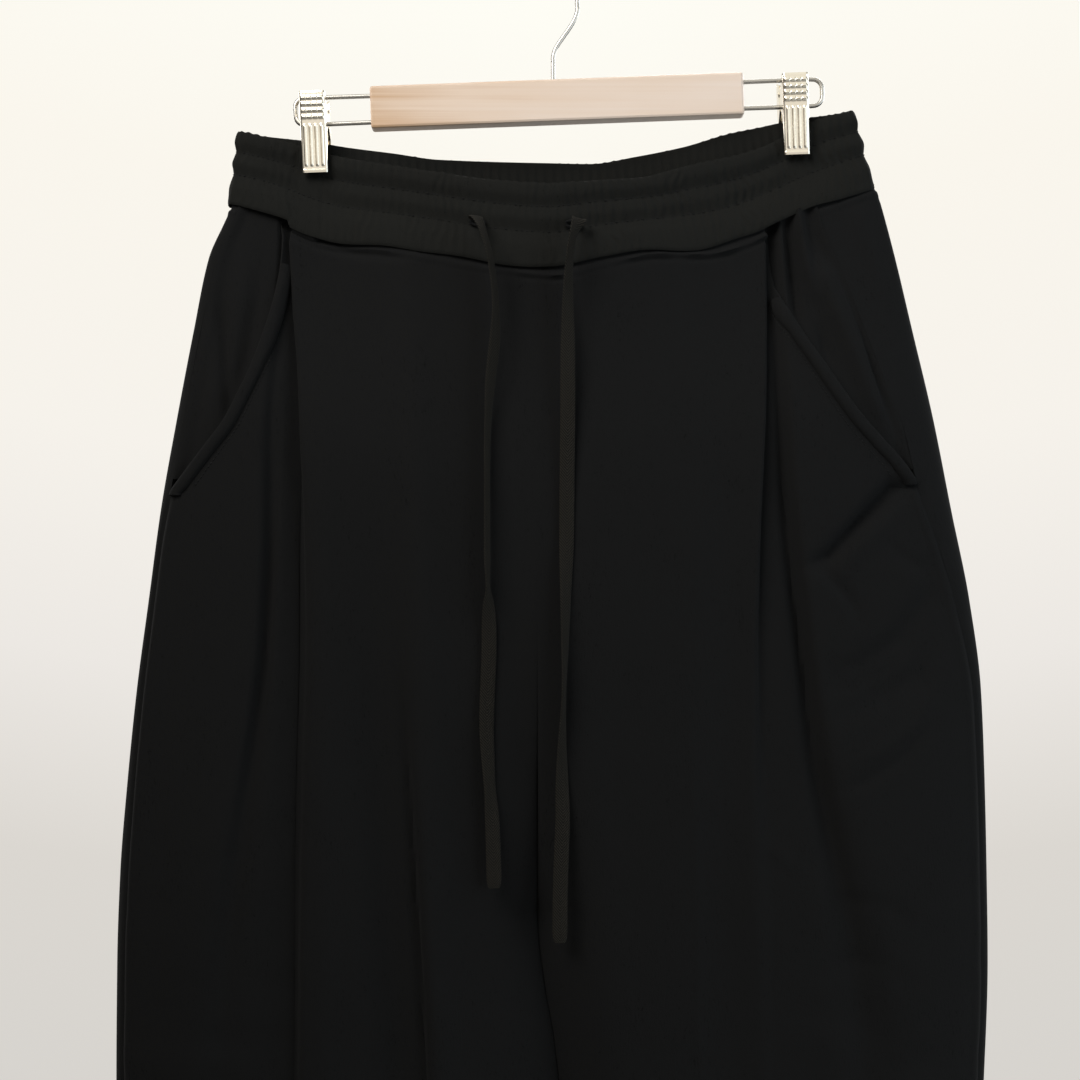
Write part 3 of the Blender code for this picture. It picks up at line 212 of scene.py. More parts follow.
# Largest folds, as rows of X, down, height (below 0 a trough) and half width
FRONT_FOLDS = {
    "left_line": (
        (-113, 320, 0, 14), (-111, 400, -3.5, 15), (-107, 500, -6, 15), (-103, 570, -7, 15),
        (-98, 655, -7.5, 15), (-94, 720, -7, 16), (-96, 860, -5, 18), (-100, 1000, -2, 20),
    ),
    "left_ridge": (
        (-88, 200, 1, 13), (-84, 318, 3, 12), (-78, 450, 4, 12), (-73, 560, 4, 11), (-68, 680, 4.5, 11),
        (-68, 860, 3, 16), (-74, 1050, 1, 20),
    ),
    "left_plateau": (
        (-146, 260, 0, 9), (-144, 340, 2, 9), (-142, 480, 2.5, 9), (-141, 700, 2, 10), (-141, 900, 0, 12),
    ),
    "right_ridge": (
        (18, 420, 0, 16), (22, 520, 2, 17), (34, 640, 3, 18), (44, 780, 2, 22), (60, 950, 0, 24),
    ),
    "right_hollow": (
        (110, 220, 0, 14), (113, 350, -3, 15), (113, 480, -4.5, 16), (110, 620, -4.5, 17),
        (114, 760, -3, 20), (120, 950, -1, 24),
    ),
    "right_drag": (
        (236, 340, -1, 7), (219, 343, -4, 7), (200, 363, -5, 7), (178, 385, -4, 7), (165, 392, -1, 7),
    ),
    "right_pull": (
        (178, 486, 0, 10), (205, 474, -3, 11), (232, 462, -3.5, 12), (250, 420, -1, 12),
    ),
    "right_fall": (
        (172, 500, 0, 10), (180, 560, -3, 11), (196, 640, -3.5, 12), (206, 720, -2.5, 14), (208, 850, 0, 16),
    ),
}
BACK_FOLDS = {
    "left_outer": (
        (-172, 178, 0, 12), (-176, 240, -2, 13), (-182, 380, -4, 15), (-190, 560, -4.5, 17),
        (-196, 760, -3, 20), (-190, 980, -1, 22),
    ),
    "left_middle": (
        (-96, 240, 0, 16), (-100, 360, 2, 18), (-112, 560, 3.5, 20), (-120, 760, 3, 22), (-126, 1000, 1, 24),
    ),
    "left_inner": (
        (-50, 480, 0, 12), (-54, 580, -3.5, 13), (-62, 700, -5, 15), (-76, 900, -2.5, 20),
    ),
    "right_inner": (
        (38, 440, 0, 12), (44, 560, -4, 13), (60, 700, -4.5, 15), (84, 900, -2, 20),
    ),
    "right_middle": (
        (104, 200, 0, 16), (108, 330, -2.5, 17), (114, 520, -4, 18), (122, 720, -3.5, 20),
        (130, 960, -1, 24),
    ),
    "right_outer": (
        (188, 260, 0, 16), (192, 400, 2.5, 18), (200, 600, 3.5, 20), (204, 820, 2.5, 22),
        (200, 1000, 0.5, 24),
    ),
}
FOLD_MARGIN = 16.0  # folds fade out over this distance from a panel's silhouette

# Drawstrings: X, Y and down of the points that each follows from its buttonhole to its free end
CORD_WIDTH = 9.4
CORDS = {
    "drawstring_left": (
        (-44.8, -35.6, 172.5), (-42.6, -37.6, 178), (-40.4, -39, 184.5), (-38, -40.2, 192.5),
        (-35.6, -41.2, 206), (-33.6, -42, 226), (-34, -42.6, 248), (-36.8, -42.9, 275), (-38.6, -43, 306),
        (-38.8, -43, 350), (-38.6, -43, 387), (-38, -43, 412), (-37.6, -43, 440), (-38.6, -43, 468),
        (-39.2, -43, 492), (-37.5, -43, 525), (-35.8, -43, 548), (-35, -43, 571), (-34.4, -43, 592),
    ),
    "drawstring_right": (
        (17.2, -36.6, 174.5), (15.9, -38.4, 179.5), (14.6, -39.8, 185.5), (13.2, -41, 193.5),
        (12.1, -41.9, 207), (11.6, -42.4, 226), (11.6, -43, 250), (11.5, -43.4, 290), (11.1, -43.6, 330),
        (10.8, -43.6, 370), (10.2, -43.6, 405), (9.7, -43.6, 440), (9.1, -43.6, 468), (8, -43.6, 500),
        (7.9, -43.6, 526), (8.3, -43.6, 549), (7.4, -43.6, 574), (6.7, -43.6, 600), (6.6, -43.6, 626),
    ),
}

# Hanger: a frame at the middle of the bar, tilted a little as it hangs
BAR_CENTRE = (5.2, 0.0, -89.7)
BAR_SIZE = (242.0, 12.0, 27.4)
BAR_TILT = 2.15
WIRE = 2.9
RACK_HALF_HEIGHT = 8.6
RACK_REACH = {"left": -170.3, "right": 172.5}
RACK_CORNER = 6.0
HOOK_RADIUS = 19.5
HOOK_CENTRE = (0.0, WIRE / 2 - HOOK_RADIUS)  # X and Z of the hook's round
HOOK_END_ANGLE = 130.0
HOOK_TIP = 24.0
HOOK_BALL = 2.4
STEM_X = 2.6
CLIP_CENTRE = {"left": (-157.4, -16.4), "right": (153.2, -16.4)}
CLIP_WIDTH = 16.8
CLIP_WALL = 1.2
RIB_PLACES = (-5.4, -1.8, 1.8, 5.4)


def sign_of(side):
    return -1.0 if side == "left" else 1.0


def forward_of(face):
    """Sign of Y on the front or the back."""
    return -1.0 if face == "front" else 1.0


# ---- Sections of the body ----


def outer_edge(side, down):
    """Distance out of the silhouette's middle surface."""
    return sign_of(side) * OUTLINE.at(side, down) - CLOTH / 2


def inner_edge(side, down):
    """Distance out of the edge between the legs; below 0 it is past the middle plane."""
    return sign_of(side) * BETWEEN.at("line", down) + BETWEEN.at("half_gap", down)


def seam_edge(side, down):
    return outer_edge(side, down) - SIDE_SEAM.at(side, down)


def pocket_edge(side, down):
    """Outer edge of the front panel: the pocket mouth, and below it the side seam."""
    edge = seam_edge(side, down)
    return np.where(down < POCKET_END[side], np.minimum(POCKET[side].at("out", down), edge), edge)


def lens(at, middle, half_width):
    t = np.clip(np.abs(at - middle) / half_width, 0.0, 1.0)
    return np.sqrt(1.0 - t**LENS_POWER)


def leg_share(down, reach):
    """0 where the section is one body, 1 where it is two legs; reach is the distance from the inseam."""
    s = np.clip((down - VALLEY_DOWN) / (CROTCH_DOWN - VALLEY_DOWN), 0.0, 1.0)
    near, far = 1.0 - (1.0 - s * s) ** 0.8, s * s * (3.0 - 2.0 * s)
    return near + (far - near) * smoothstep(0.0, VALLEY_REACH, reach)


def band_across(x):
    left, right = BAND_ENDS["seam"]
    return np.clip((2.0 * x - left - right) / (right - left), -1.0, 1.0)


def seam_down(face, x):
    return BAND_DOWN.at(f"seam_{face}", band_across(x))


def row_down(face, x, row):
    """Height of a row at X: it follows the waistband's seam at the top and is level further down."""
    follow = 1.0 - smoothstep(0.0, WAIST_BLEND, row - SEAM_DOWN)
    return row + WAIST_GAP + follow * (seam_down(face, x) - SEAM_DOWN)


def fold_relief(folds, x, down):
    """Sum of the folds, each a soft ridge or trough along its own line."""
    total = np.zeros(np.broadcast(x, down).shape)
    for rows in folds.values():
        nearest = np.full(total.shape, np.inf)
        relief = np.zeros(total.shape)
        for (x0, d0, high0, wide0), (x1, d1, high1, wide1) in zip(rows[:-1], rows[1:]):
            run_x, run_d = x1 - x0, d1 - d0
            t = np.clip(((x - x0) * run_x + (down - d0) * run_d) / (run_x**2 + run_d**2), 0.0, 1.0)
            distance = np.hypot(x - x0 - t * run_x, down - d0 - t * run_d)
            value = (high0 + t * (high1 - high0)) * bell(distance, wide0 + t * (wide1 - wide0))
            relief = np.where(distance < nearest, value, relief)
            nearest = np.minimum(distance, nearest)
        total += relief
    return total


def body_depth(face, side, x, down):
    """Distance of the front or the back from the middle plane, with its folds."""
    out = sign_of(side) * x
    left = OUTLINE.at("left", down) + CLOTH / 2
    right = OUTLINE.at("right", down) - CLOTH / 2
    middle, half = (left + right) / 2, (right - left) / 2
    outer, inner = outer_edge(side, down), inner_edge(side, down)
    share = leg_share(down, out - inner)
    section = (1.0 - share) * lens(x, middle, half)
    section += share * lens(out, (outer + inner) / 2, (outer - inner) / 2)
    depth = OUTLINE.at(face, down) * section
    across = np.clip((x - middle) / half, -1.0, 1.0)
    proud = BAND_PROUD + CLOTH / 2
    at_seam = (BAND_DEPTH.at(f"seam_{face}", across) - proud) * np.sqrt(1.0 - np.abs(across) ** CAP_POWER)
    blend = smoothstep(0.0, WAIST_BLEND, down - seam_down(face, x))
    depth = at_seam + blend * (depth - at_seam)
    inner_margin = 1.0 - share * (1.0 - smoothstep(0.0, FOLD_MARGIN, out - inner))
    margin = smoothstep(0.0, FOLD_MARGIN, outer - out) * inner_margin
    folds = FRONT_FOLDS if face == "front" else BACK_FOLDS
    return depth + margin * fold_relief(folds, x, down)


# ---- Knife pleat ----


def pleat_form(side, down):
    table = PLEAT[side]
    turn = np.radians(table.at("turn", down))
    return turn, table.at("lap", down), table.at("radius", down)


def pleat_path(side, down, w):
    """Path through the fold for w in 0..1: distance inward and distance forward from its hidden start."""
    turn, lap, radius = pleat_form(side, down)
    arc = 5.0 / 11.0  # share of w on each arc; the rest is the straight lap
    first = np.clip(w / arc, 0.0, 1.0) * turn
    straight = np.clip((w - arc) / (1.0 - 2.0 * arc), 0.0, 1.0) * lap
    last = turn - np.clip((w - 1.0 + arc) / arc, 0.0, 1.0) * turn
    inward = radius * np.sin(first) + straight * np.cos(turn) + radius * (np.sin(turn) - np.sin(last))
    forward = radius * (1.0 - np.cos(first)) + straight * np.sin(turn)
    forward = forward + radius * (np.cos(last) - np.cos(turn))
    return inward, forward


def pleat_start(side, down):
    """Distance out of the fold's hidden start, from the place of its folded edge."""
    turn, lap, radius = pleat_form(side, down)
    inward = radius * np.sin(turn) + lap * np.cos(turn)
    past = np.where(turn > math.pi / 2, radius * (np.sin(turn) - 1.0), 0.0)
    return PLEAT[side].at("out", down) + inward + past


def side_recess(side, out, down):
    """How far the side of the front panel lies behind the folded front: pleat step and groove."""
    step = pleat_path(side, down, np.ones_like(down))[1]
    fold, groove = PLEAT[side].at("out", down), PLEAT[side].at("groove", down)
    width = GROOVE_FORM.at("width", down)
    if side == "left":
        slope = np.clip((out - fold) / (groove + 5.0 - fold), 0.0, 1.0)
        under = 1.0 - 0.45 * slope - 0.55 * slope**2 * (3.0 - 2.0 * slope)
    else:
        under = 1.0 - smoothstep(0.0, 1.0, (out - groove + 2.0) / (8.0 + 0.5 * width))
    trough = GROOVE_FORM.at("depth", down) * bell(out - groove, width)
    edge = smoothstep(0.0, FOLD_MARGIN, outer_edge(side, down) - out)
    return step * under + trough * edge * smoothstep(0.0, 8.0, groove - fold)


def settle(face, side, row, out_at):
    """Find the height and the place of each point, which depend on each other."""
    down = row + 0.0
    for _ in range(4):
        out = out_at(down)
        down = row_down(face, sign_of(side) * out, row)
    return out_at(down), down


def side_level(side, out, down):
    """Y of the side of the front panel, beyond the pleat."""
    return side_recess(side, out, down) - body_depth("front", side, sign_of(side) * out, down)


def pocket_band_width(side, down):
    """Width of the pocket's band along X: more where the mouth slants, and never past the mouth's end."""
    slant = (pocket_edge(side, down + 1.0) - pocket_edge(side, down - 1.0)) / 2.0
    return POCKET_BAND_WIDTH * np.sqrt(1.0 + np.clip(slant, 0.0, 1.0) ** 2)


def front_surface(side, u, row):
    """u runs over -1..0 on the pocket's band, 0..1 on the side, 1..2 in the pleat and 2..3 to the middle."""
    on_band, on_side, on_pleat = u <= 0.0, (u > 0.0) & (u <= 1.0), (u > 1.0) & (u < 2.0)
    w = np.clip(u - 1.0, 0.0, 1.0)

    def out_at(down):
        start, edge = pleat_start(side, down), pocket_edge(side, down)
        width = pocket_band_width(side, down)
        end = start - pleat_path(side, down, np.ones_like(down))[0]
        reach = 0.25 * (u - 2.0) + 0.75 * np.sin((u - 2.0) * math.pi / 2)
        middle = end + (inner_edge(side, down) - end) * reach
        places = [edge - width * (u + 1.0), edge - width + (start - edge + width) * u,
                  start - pleat_path(side, down, w)[0]]
        return np.select([on_band, on_side, on_pleat], places, middle)

    out, down = settle("front", side, row, out_at)
    full = pleat_path(side, down, np.ones_like(down))[1]
    forward = np.where(on_pleat, pleat_path(side, down, w)[1] - full, 0.0)
    y = -body_depth("front", side, sign_of(side) * out, down) - forward
    y = np.where(on_band | on_side, side_level(side, out, down), y)
    return np.stack([sign_of(side) * out, y, -down], axis=-1)


def back_surface(side, u, row):
    """u runs over 0..1 from the middle to the outer edge and 1..2 round it to the side seam."""
    on_back = u <= 1.0

    def out_at(down):
        outer, inner = outer_edge(side, down), inner_edge(side, down)
        across = 0.2 * u + 0.8 * (1.0 - np.cos(np.clip(u, 0.0, 1.0) * math.pi)) / 2
        around = (u - 1.0) ** 2
        return np.where(on_back, inner + (outer - inner) * np.minimum(across, 1.0),
                        outer + (seam_edge(side, down) - outer) * around)

    out, down = settle("back", side, row, out_at)
    front_out, front_down = settle("front", side, row, out_at)
    out, down = np.where(on_back, out, front_out), np.where(on_back, down, front_down)
    x = sign_of(side) * out
    y = np.where(on_back, body_depth("back", side, x, down), -body_depth("front", side, x, down))
    return np.stack([x, y, -down], axis=-1)


def facing_surface(side, u, row):
    """u runs over 0..1 from the side seam to the pocket mouth and 1..2 on under the front panel."""

    def out_at(down):
        seam, mouth = seam_edge(side, down), pocket_edge(side, down)
        return np.where(u <= 1.0, seam + (mouth - seam) * u, mouth - FACING_REACH * (u - 1.0))

    out, down = settle("front", side, row, out_at)
    return np.stack([sign_of(side) * out, side_level(side, out, down), -down], axis=-1)


def facing_drop(side, u, row):
    """How far the facing lies under the level of the front panel, along its normal."""
    width = seam_edge(side, row) - pocket_edge(side, row)
    reach = np.maximum(np.minimum(10.0, 0.8 * width), 0.5)
    return FACING_DROP * smoothstep(0.0, 1.0, np.clip(u, 0.0, 1.0) * width / reach)


# ---- Walls ----


def unit(vectors):
    return vectors / np.maximum(np.linalg.norm(vectors, axis=-1, keepdims=True), 1e-9)


def normals_of(surface, side, u, row):
    """Outward normals from small steps along one side's surface."""
    step_u, step_row = 0.004, 0.4
    across = surface(side, u + step_u, row) - surface(side, u - step_u, row)
    along = surface(side, u, row + step_row) - surface(side, u, row - step_row)
    return sign_of(side) * unit(np.cross(across, along))


def seam_columns(side, face, points, normals, column, rows):
    """Turn the normals of the middle seam and inseam into the plane that both of its panels share."""
    along = np.gradient(points[column], axis=0)
    above = rows < CROTCH_DOWN - 1.0
    crotch = np.abs(rows - CROTCH_DOWN) <= 1.0
    sign, forward = sign_of(side), forward_of(face)
    torso = unit(np.cross(along, (1.0, 0.0, 0.0)))
    torso *= np.where(torso[:, 1] * forward < 0.0, -1.0, 1.0)[:, None]
    leg = unit(np.cross(along, (0.0, 1.0, 0.0)))
    leg *= np.where(leg[:, 0] * sign > 0.0, -1.0, 1.0)[:, None]
    corner = unit(np.array([-sign * 0.5, forward * 0.5, -0.7]))
    normals[column] = np.where(above[:, None], torso, leg)
    normals[column][crotch] = corner


def keep_clear(side, face, outer, inner, rows):
    """Stop both faces of a panel just short of the plane between the legs and of its inseam."""
    sign, forward = sign_of(side), forward_of(face)
    press = smoothstep(VALLEY_DOWN, CROTCH_DOWN, rows)[None, :]
    for layer, depth in ((outer, 0.0), (inner, CLOTH)):
        down = -layer[..., 2]
        limit = sign * BETWEEN.at("line", down) + depth * press
        out = sign * layer[..., 0]
        layer[..., 0] = sign * np.maximum(out, limit)
        inside = (out < inner_edge(side, down) + 30.0) & (rows[None, :] > CROTCH_DOWN - 60.0)
        y = forward * layer[..., 1]
        layer[..., 1] = forward * np.where(inside, np.maximum(y, 0.0), y)


# ---- Sections of the waistband ----


def band_point(level, face, across):
    """Point of the waistband's outside at its top or its seam."""
    left, right = BAND_ENDS[level]
    cap = np.sqrt(np.maximum(1.0 - np.abs(across) ** CAP_POWER, 0.0))
    depth = BAND_DEPTH.at(f"{level}_{face}", across) * cap
    x = (left + right) / 2 + across * (right - left) / 2
    return np.stack([x, forward_of(face) * depth, -BAND_DOWN.at(f"{level}_{face}", across)], axis=-1)


def band_loop(level, angles):
    """Closed loop at the top or the seam, from the left end along the front and home along the back."""
    across = -np.cos(angles)
    front = (np.mod(angles, 2 * math.pi) <= math.pi)[..., None]
    return np.where(front, band_point(level, "front", across), band_point(level, "back", across))


def even_angles(count):
    """Angles at which the loop's columns lie an even distance apart along the waistband."""
    fine = np.linspace(0.0, 2 * math.pi, 4001)
    loop = (band_loop("top", fine) + band_loop("seam", fine)) / 2
    run = run_along(loop)
    return np.interp(np.arange(count) * run[-1] / count, run, fine)


def band_surface(angles, height):
    """Points of the waistband's plain outside for columns (angles) and heights 0..1."""
    top, seam = band_loop("top", angles), band_loop("seam", angles)
    drop = smoothstep(0.4, 1.0, height)[..., None]
    share = height[..., None]
    points = top + (seam - top) * share
    points[..., 1] = (top[..., 1:2] + (seam[..., 1:2] - top[..., 1:2]) * drop)[..., 0]
    return points


def band_normals(angles, height):
    step = 0.003
    across = band_surface(angles + step, height) - band_surface(angles - step, height)
    return unit(np.stack([across[..., 1], -across[..., 0], np.zeros_like(across[..., 0])], axis=-1))


def clip_calm(angles):
    """Gathers and channels lie flatter under the clips."""
    across = -np.cos(angles)
    near = [bell(across - place, 0.06) for place in CLIP_ACROSS]
    return 1.0 - 0.6 * np.maximum(near[0], near[1])


# ---- Routes ----


def curve_through(route, count):
    """Even points along a smooth curve (centripetal splines) through the route's points."""
    route = [np.array(p, float) for p in route]
    ends = [2 * route[0] - route[1], *route, 2 * route[-1] - route[-2]]
    fine = []
    for p0, p1, p2, p3 in zip(ends, ends[1:], ends[2:], ends[3:]):
        t0, t1 = 0.0, np.linalg.norm(p1 - p0) ** 0.5
        t2 = t1 + np.linalg.norm(p2 - p1) ** 0.5
        t3 = t2 + np.linalg.norm(p3 - p2) ** 0.5
        for t in np.linspace(t1, t2, 12, endpoint=False):
            a1 = (t1 - t) / (t1 - t0) * p0 + (t - t0) / (t1 - t0) * p1
            a2 = (t2 - t) / (t2 - t1) * p1 + (t - t1) / (t2 - t1) * p2
            a3 = (t3 - t) / (t3 - t2) * p2 + (t - t2) / (t3 - t2) * p3
            b1 = (t2 - t) / (t2 - t0) * a1 + (t - t0) / (t2 - t0) * a2
            b2 = (t3 - t) / (t3 - t1) * a2 + (t - t1) / (t3 - t1) * a3
            fine.append((t2 - t) / (t2 - t1) * b1 + (t - t1) / (t2 - t1) * b2)
    fine = np.array([*fine, route[-1]])
    run = run_along(fine)
    at = np.linspace(0.0, run[-1], count)
    return np.stack([np.interp(at, run, fine[:, k]) for k in range(3)], axis=-1)


def hanger_matrix():
    place = Matrix.Translation(Vector(BAR_CENTRE) * MM)
    return place @ Matrix.Rotation(math.radians(-BAR_TILT), 4, "Y")


def rack_route(side):
    """A U of wire from the end of the bar round the far end of the rack and back."""
    sign = sign_of(side)
    near = BAR_SIZE[0] / 2
    far = abs(RACK_REACH[side])
    high, corner = RACK_HALF_HEIGHT, RACK_CORNER
    route = [(sign * near, 0.0, high)]
    for angle in range(90, -91, -15):
        turn = math.radians(angle)
        middle = high - corner if angle >= 0 else corner - high
        x = far - corner + corner * math.cos(turn)
        route.append((sign * x, 0.0, middle + corner * math.sin(turn)))
    route.append((sign * near, 0.0, -high))
    return route


def hook_round_at(degrees):
    """Point on the hook's round."""
    turn = math.radians(degrees)
    centre_x, centre_z = HOOK_CENTRE
    return centre_x + HOOK_RADIUS * math.cos(turn), 0.0, centre_z + HOOK_RADIUS * math.sin(turn)


def hook_route():
    """Stem, S-bend, round hook and straight tip, in the XZ plane."""
    s_bend = [(STEM_X, 0.0, bar_top_at(STEM_X)), (STEM_X, 0.0, -66.0), (2.8, 0.0, -60.0), (4.3, 0.0, -55.0),
              (8.6, 0.0, -48.2), (13.8, 0.0, -40.8), (17.4, 0.0, -34.2), (19.2, 0.0, -26.5)]
    points = [*curve_through(s_bend, 16)[:-1], *map(hook_round_at, range(-20, int(HOOK_END_ANGLE) + 1, 15))]
    turn = math.radians(HOOK_END_ANGLE)
    end, way = np.array(hook_round_at(HOOK_END_ANGLE)), np.array((-math.sin(turn), 0.0, math.cos(turn)))
    points += [end + way * run for run in (0.4, HOOK_TIP * 0.5, HOOK_TIP)]
    return points, points[-1], way


def bar_top_at(x):
    tilt = math.radians(BAR_TILT)
    return BAR_CENTRE[2] + (x - BAR_CENTRE[0]) * math.tan(tilt) + BAR_SIZE[2] / 2 / math.cos(tilt)


# ---- Camera, light and floor ----

CAMERA_PLACE = (-5.85, -960.0, -374.4)
CAMERA_LENS = 49.2


def new_object(name, data):
    obj = bpy.data.objects.new(name, data)
    bpy.context.scene.collection.objects.link(obj)
    return obj


def add_camera():
    data = bpy.data.cameras.new("camera")
    data.lens = CAMERA_LENS
    data.sensor_width = 36.0
    data.clip_start = 0.05
    camera = new_object("camera", data)
    camera.location = Vector(CAMERA_PLACE) * MM
    camera.rotation_euler = (math.radians(90.0), 0.0, 0.0)
    bpy.context.scene.camera = camera


LIGHTS = {
    # name: place, target, size in metres, power in watts, colour
    "key": ((-0.75, -0.95, 0.78), (0.16, 0.0, 0.07), 1.0, 7.2, (1.0, 0.985, 0.955)),
    "fill": ((1.55, -0.75, -0.2), (0.1, 0.0, -0.55), 1.7, 15.0, (0.80, 0.91, 1.0)),
    "rim_left": ((-1.2, 0.8, 0.1), (-0.1, 0.0, -0.5), 0.6, 5.0, (0.98, 0.99, 1.0)),
    "back": ((0.7, 1.5, 0.9), (0.0, 0.0, -0.55), 1.2, 18.0, (1.0, 0.985, 0.955)),
    "rim_right": ((1.2, 0.8, 0.1), (0.1, 0.0, -0.5), 0.6, 7.0, (0.98, 0.99, 1.0)),
}
KEY_SPREAD = 95.0  # the key light falls off towards the legs
FLOOR_DOWN = 1.34
FLOOR_CORNERS = ((-1.6, -1.3), (1.6, -1.3), (1.6, 1.4), (-1.6, 1.4))
AMBIENT = 0.11  # strength of the surround's own light, which the camera and the mirroring metal don't see
# Colours of the surround from below to above
SKY = ((0.0, (214, 211, 206)), (0.2, (219, 215, 209)), (0.36, (236, 232, 227)), (0.55, (246, 242, 235)),
       (0.78, (250, 246, 237)), (1.0, (255, 254, 246)))


def add_light(name):
    place, target, size, power, colour = LIGHTS[name]
    data = bpy.data.lights.new(name, "AREA")
    data.shape = "SQUARE"
    data.size = size
    data.energy = power
    data.color = colour
    if name == "key":
        data.spread = math.radians(KEY_SPREAD)
    light = new_object(name, data)
    light.location = place
    light.rotation_euler = (Vector(target) - Vector(place)).to_track_quat("-Z", "Y").to_euler()


def add_surround():
    """Pale and even for the camera; the metal mirrors it darker at the sides and below."""
    world = bpy.data.worlds.new("studio")
    bpy.context.scene.world = world
    world.use_nodes = True
    tree = world.node_tree
    x, _, z = axes_of(tree, tree.nodes.new("ShaderNodeTexCoord").outputs["Generated"])
    aside = math_node(tree, "ABSOLUTE", x)
    height = map_range(tree, add_values(tree, z, aside, -0.22), (-0.42, 0.36), (0.0, 1.0))
    mirrored = math_node(tree, "MULTIPLY", map_range(tree, aside, (0.2, 0.8), (1.0, 0.12)),
                         map_range(tree, z, (-0.7, -0.1), (0.15, 1.0)))
    rays = tree.nodes.new("ShaderNodeLightPath").outputs
    glossy = math_node(tree, "MULTIPLY", rays["Is Glossy Ray"], mirrored)
    direct = math_node(tree, "MAXIMUM", rays["Is Camera Ray"], glossy)
    fill(tree, tree.nodes["Background"], Color=colour_ramp(tree, height, *SKY),
         Strength=map_range(tree, direct, (0.0, 1.0), (AMBIENT, 1.0)))


def add_studio():
    for name in LIGHTS:
        add_light(name)
    add_surround()
    mesh = bpy.data.meshes.new("floor")
    mesh.from_pydata([(x, y, -FLOOR_DOWN) for x, y in FLOOR_CORNERS], [], [(0, 1, 2, 3)])
    floor = new_object("floor", mesh)
    mesh.materials.append(new_material("floor_pale", (226, 223, 218), 0.9)[0])


# ---- Materials ----


def linear(colour):
    return [c / 255 / 12.92 if c <= 10 else ((c / 255 + 0.055) / 1.055) ** 2.4 for c in colour]


def new_material(name, colour, roughness, metallic=0.0):
    material = bpy.data.materials.new(name)
    material.use_nodes = True
    tree = material.node_tree
    shader = fill(tree, tree.nodes["Principled BSDF"], Base_Color=(*linear(colour), 1.0), Roughness=roughness,
                  Metallic=metallic)
    return material, tree, shader


def fill(tree, node, **inputs):
    """Give a node's inputs, named with _ for a space, a value or another node's output."""
    for name, value in inputs.items():
        put(tree, node.inputs[name.replace("_", " ")], value)
    return node


def put(tree, socket, value):
    if isinstance(value, bpy.types.NodeSocket):
        tree.links.new(value, socket)
    else:
        socket.default_value = value


def add_node(tree, kind, **inputs):
    return fill(tree, tree.nodes.new(kind), **inputs)


def math_node(tree, operation, *values):
    node = tree.nodes.new("ShaderNodeMath")
    node.operation = operation
    for socket, value in zip(node.inputs, values):
        put(tree, socket, value)
    return node.outputs[0]


def add_values(tree, first, second, share):
    return math_node(tree, "MULTIPLY_ADD", second, share, first)


def map_range(tree, value, start, end):
    """Bring a value from one range (low, high) to another."""
    ends = dict(zip(("From_Min", "From_Max", "To_Min", "To_Max"), (*start, *end)))
    return add_node(tree, "ShaderNodeMapRange", Value=value, **ends).outputs[0]


def axes_of(tree, vector):
    return tuple(add_node(tree, "ShaderNodeSeparateXYZ", Vector=vector).outputs)


def noise_field(tree, stretch, scale, detail=2.0):
    """Noise in the piece's own place; stretch scales the three axes before it."""
    place = tree.nodes.new("ShaderNodeTexCoord").outputs["Object"]
    mapping = add_node(tree, "ShaderNodeMapping", Vector=place, Scale=stretch)
    noise = add_node(tree, "ShaderNodeTexNoise", Vector=mapping.outputs[0], Scale=scale, Detail=detail)
    return noise.outputs["Fac"]


def colour_ramp(tree, value, *stops):
    ramp = add_node(tree, "ShaderNodeValToRGB", Fac=value)
    elements = ramp.color_ramp.elements
    while len(elements) < len(stops):
        elements.new(0.5)
    for element, (at, colour) in zip(elements, stops):
        element.position = at
        element.color = (*linear(colour), 1.0)
    return ramp.outputs[0]


def add_bump(tree, shader, height, distance, strength):
    bump = add_node(tree, "ShaderNodeBump", Distance=distance, Strength=strength, Height=height)
    fill(tree, shader, Normal=bump.outputs[0])


def fabric(name, dark, light, sheen, streak=(900.0, 900.0, 260.0)):
    """Matt brushed knit: fine streaks along the wales, soft fuzz and a faint mottle."""
    material, tree, shader = new_material(name, light, 0.95)
    streaks = noise_field(tree, streak, 1.0)
    fuzz = noise_field(tree, (1.0, 1.0, 1.0), 1500.0)
    mottle = noise_field(tree, (1.0, 1.0, 0.6), 28.0, 3.0)
    mixed = add_values(tree, add_values(tree, fuzz, streaks, 1.0), mottle, 0.35)
    fill(tree, shader, Base_Color=colour_ramp(tree, mixed, (0.75, dark), (1.55, light)),
         Specular_IOR_Level=0.06, Sheen_Weight=sheen, Sheen_Roughness=0.45, Sheen_Tint=(0.9, 0.9, 0.88, 1.0))
    add_bump(tree, shader, add_values(tree, streaks, fuzz, 0.8), 0.00025, 0.7)
    return material


YARN_PITCH = 1.9  # of the braid, in millimetres


def braid():
    """Flat braid: crossing diagonal yarns in the tape's own directions, with painted shade darkening the
    colour where the yarns sink.
    """
    material, tree, shader = new_material("drawstring_braid", (46, 43, 38), 0.85)
    place = tree.nodes.new("ShaderNodeAttribute")
    place.attribute_name = "tape"
    x, y, _ = axes_of(tree, place.outputs["Vector"])
    slant = add_values(tree, y, math_node(tree, "ABSOLUTE", x), 1.2)
    yarn = math_node(tree, "SINE", math_node(tree, "MULTIPLY", slant, 2.0 * math.pi / YARN_PITCH))
    height = add_values(tree, noise_field(tree, (1.0, 1.0, 1.0), 1300.0), yarn, 0.5)
    # Painted shade: the colour follows the yarns' height and darkens where they sink between each other; the
    # noise in it adds random tone.
    colour = colour_ramp(tree, height, (0.1, (18, 17, 15)), (0.9, (44, 41, 35)))
    fill(tree, shader, Base_Color=colour, Specular_IOR_Level=0.12, Sheen_Weight=0.015)
    add_bump(tree, shader, height, 0.0004, 0.9)
    return material


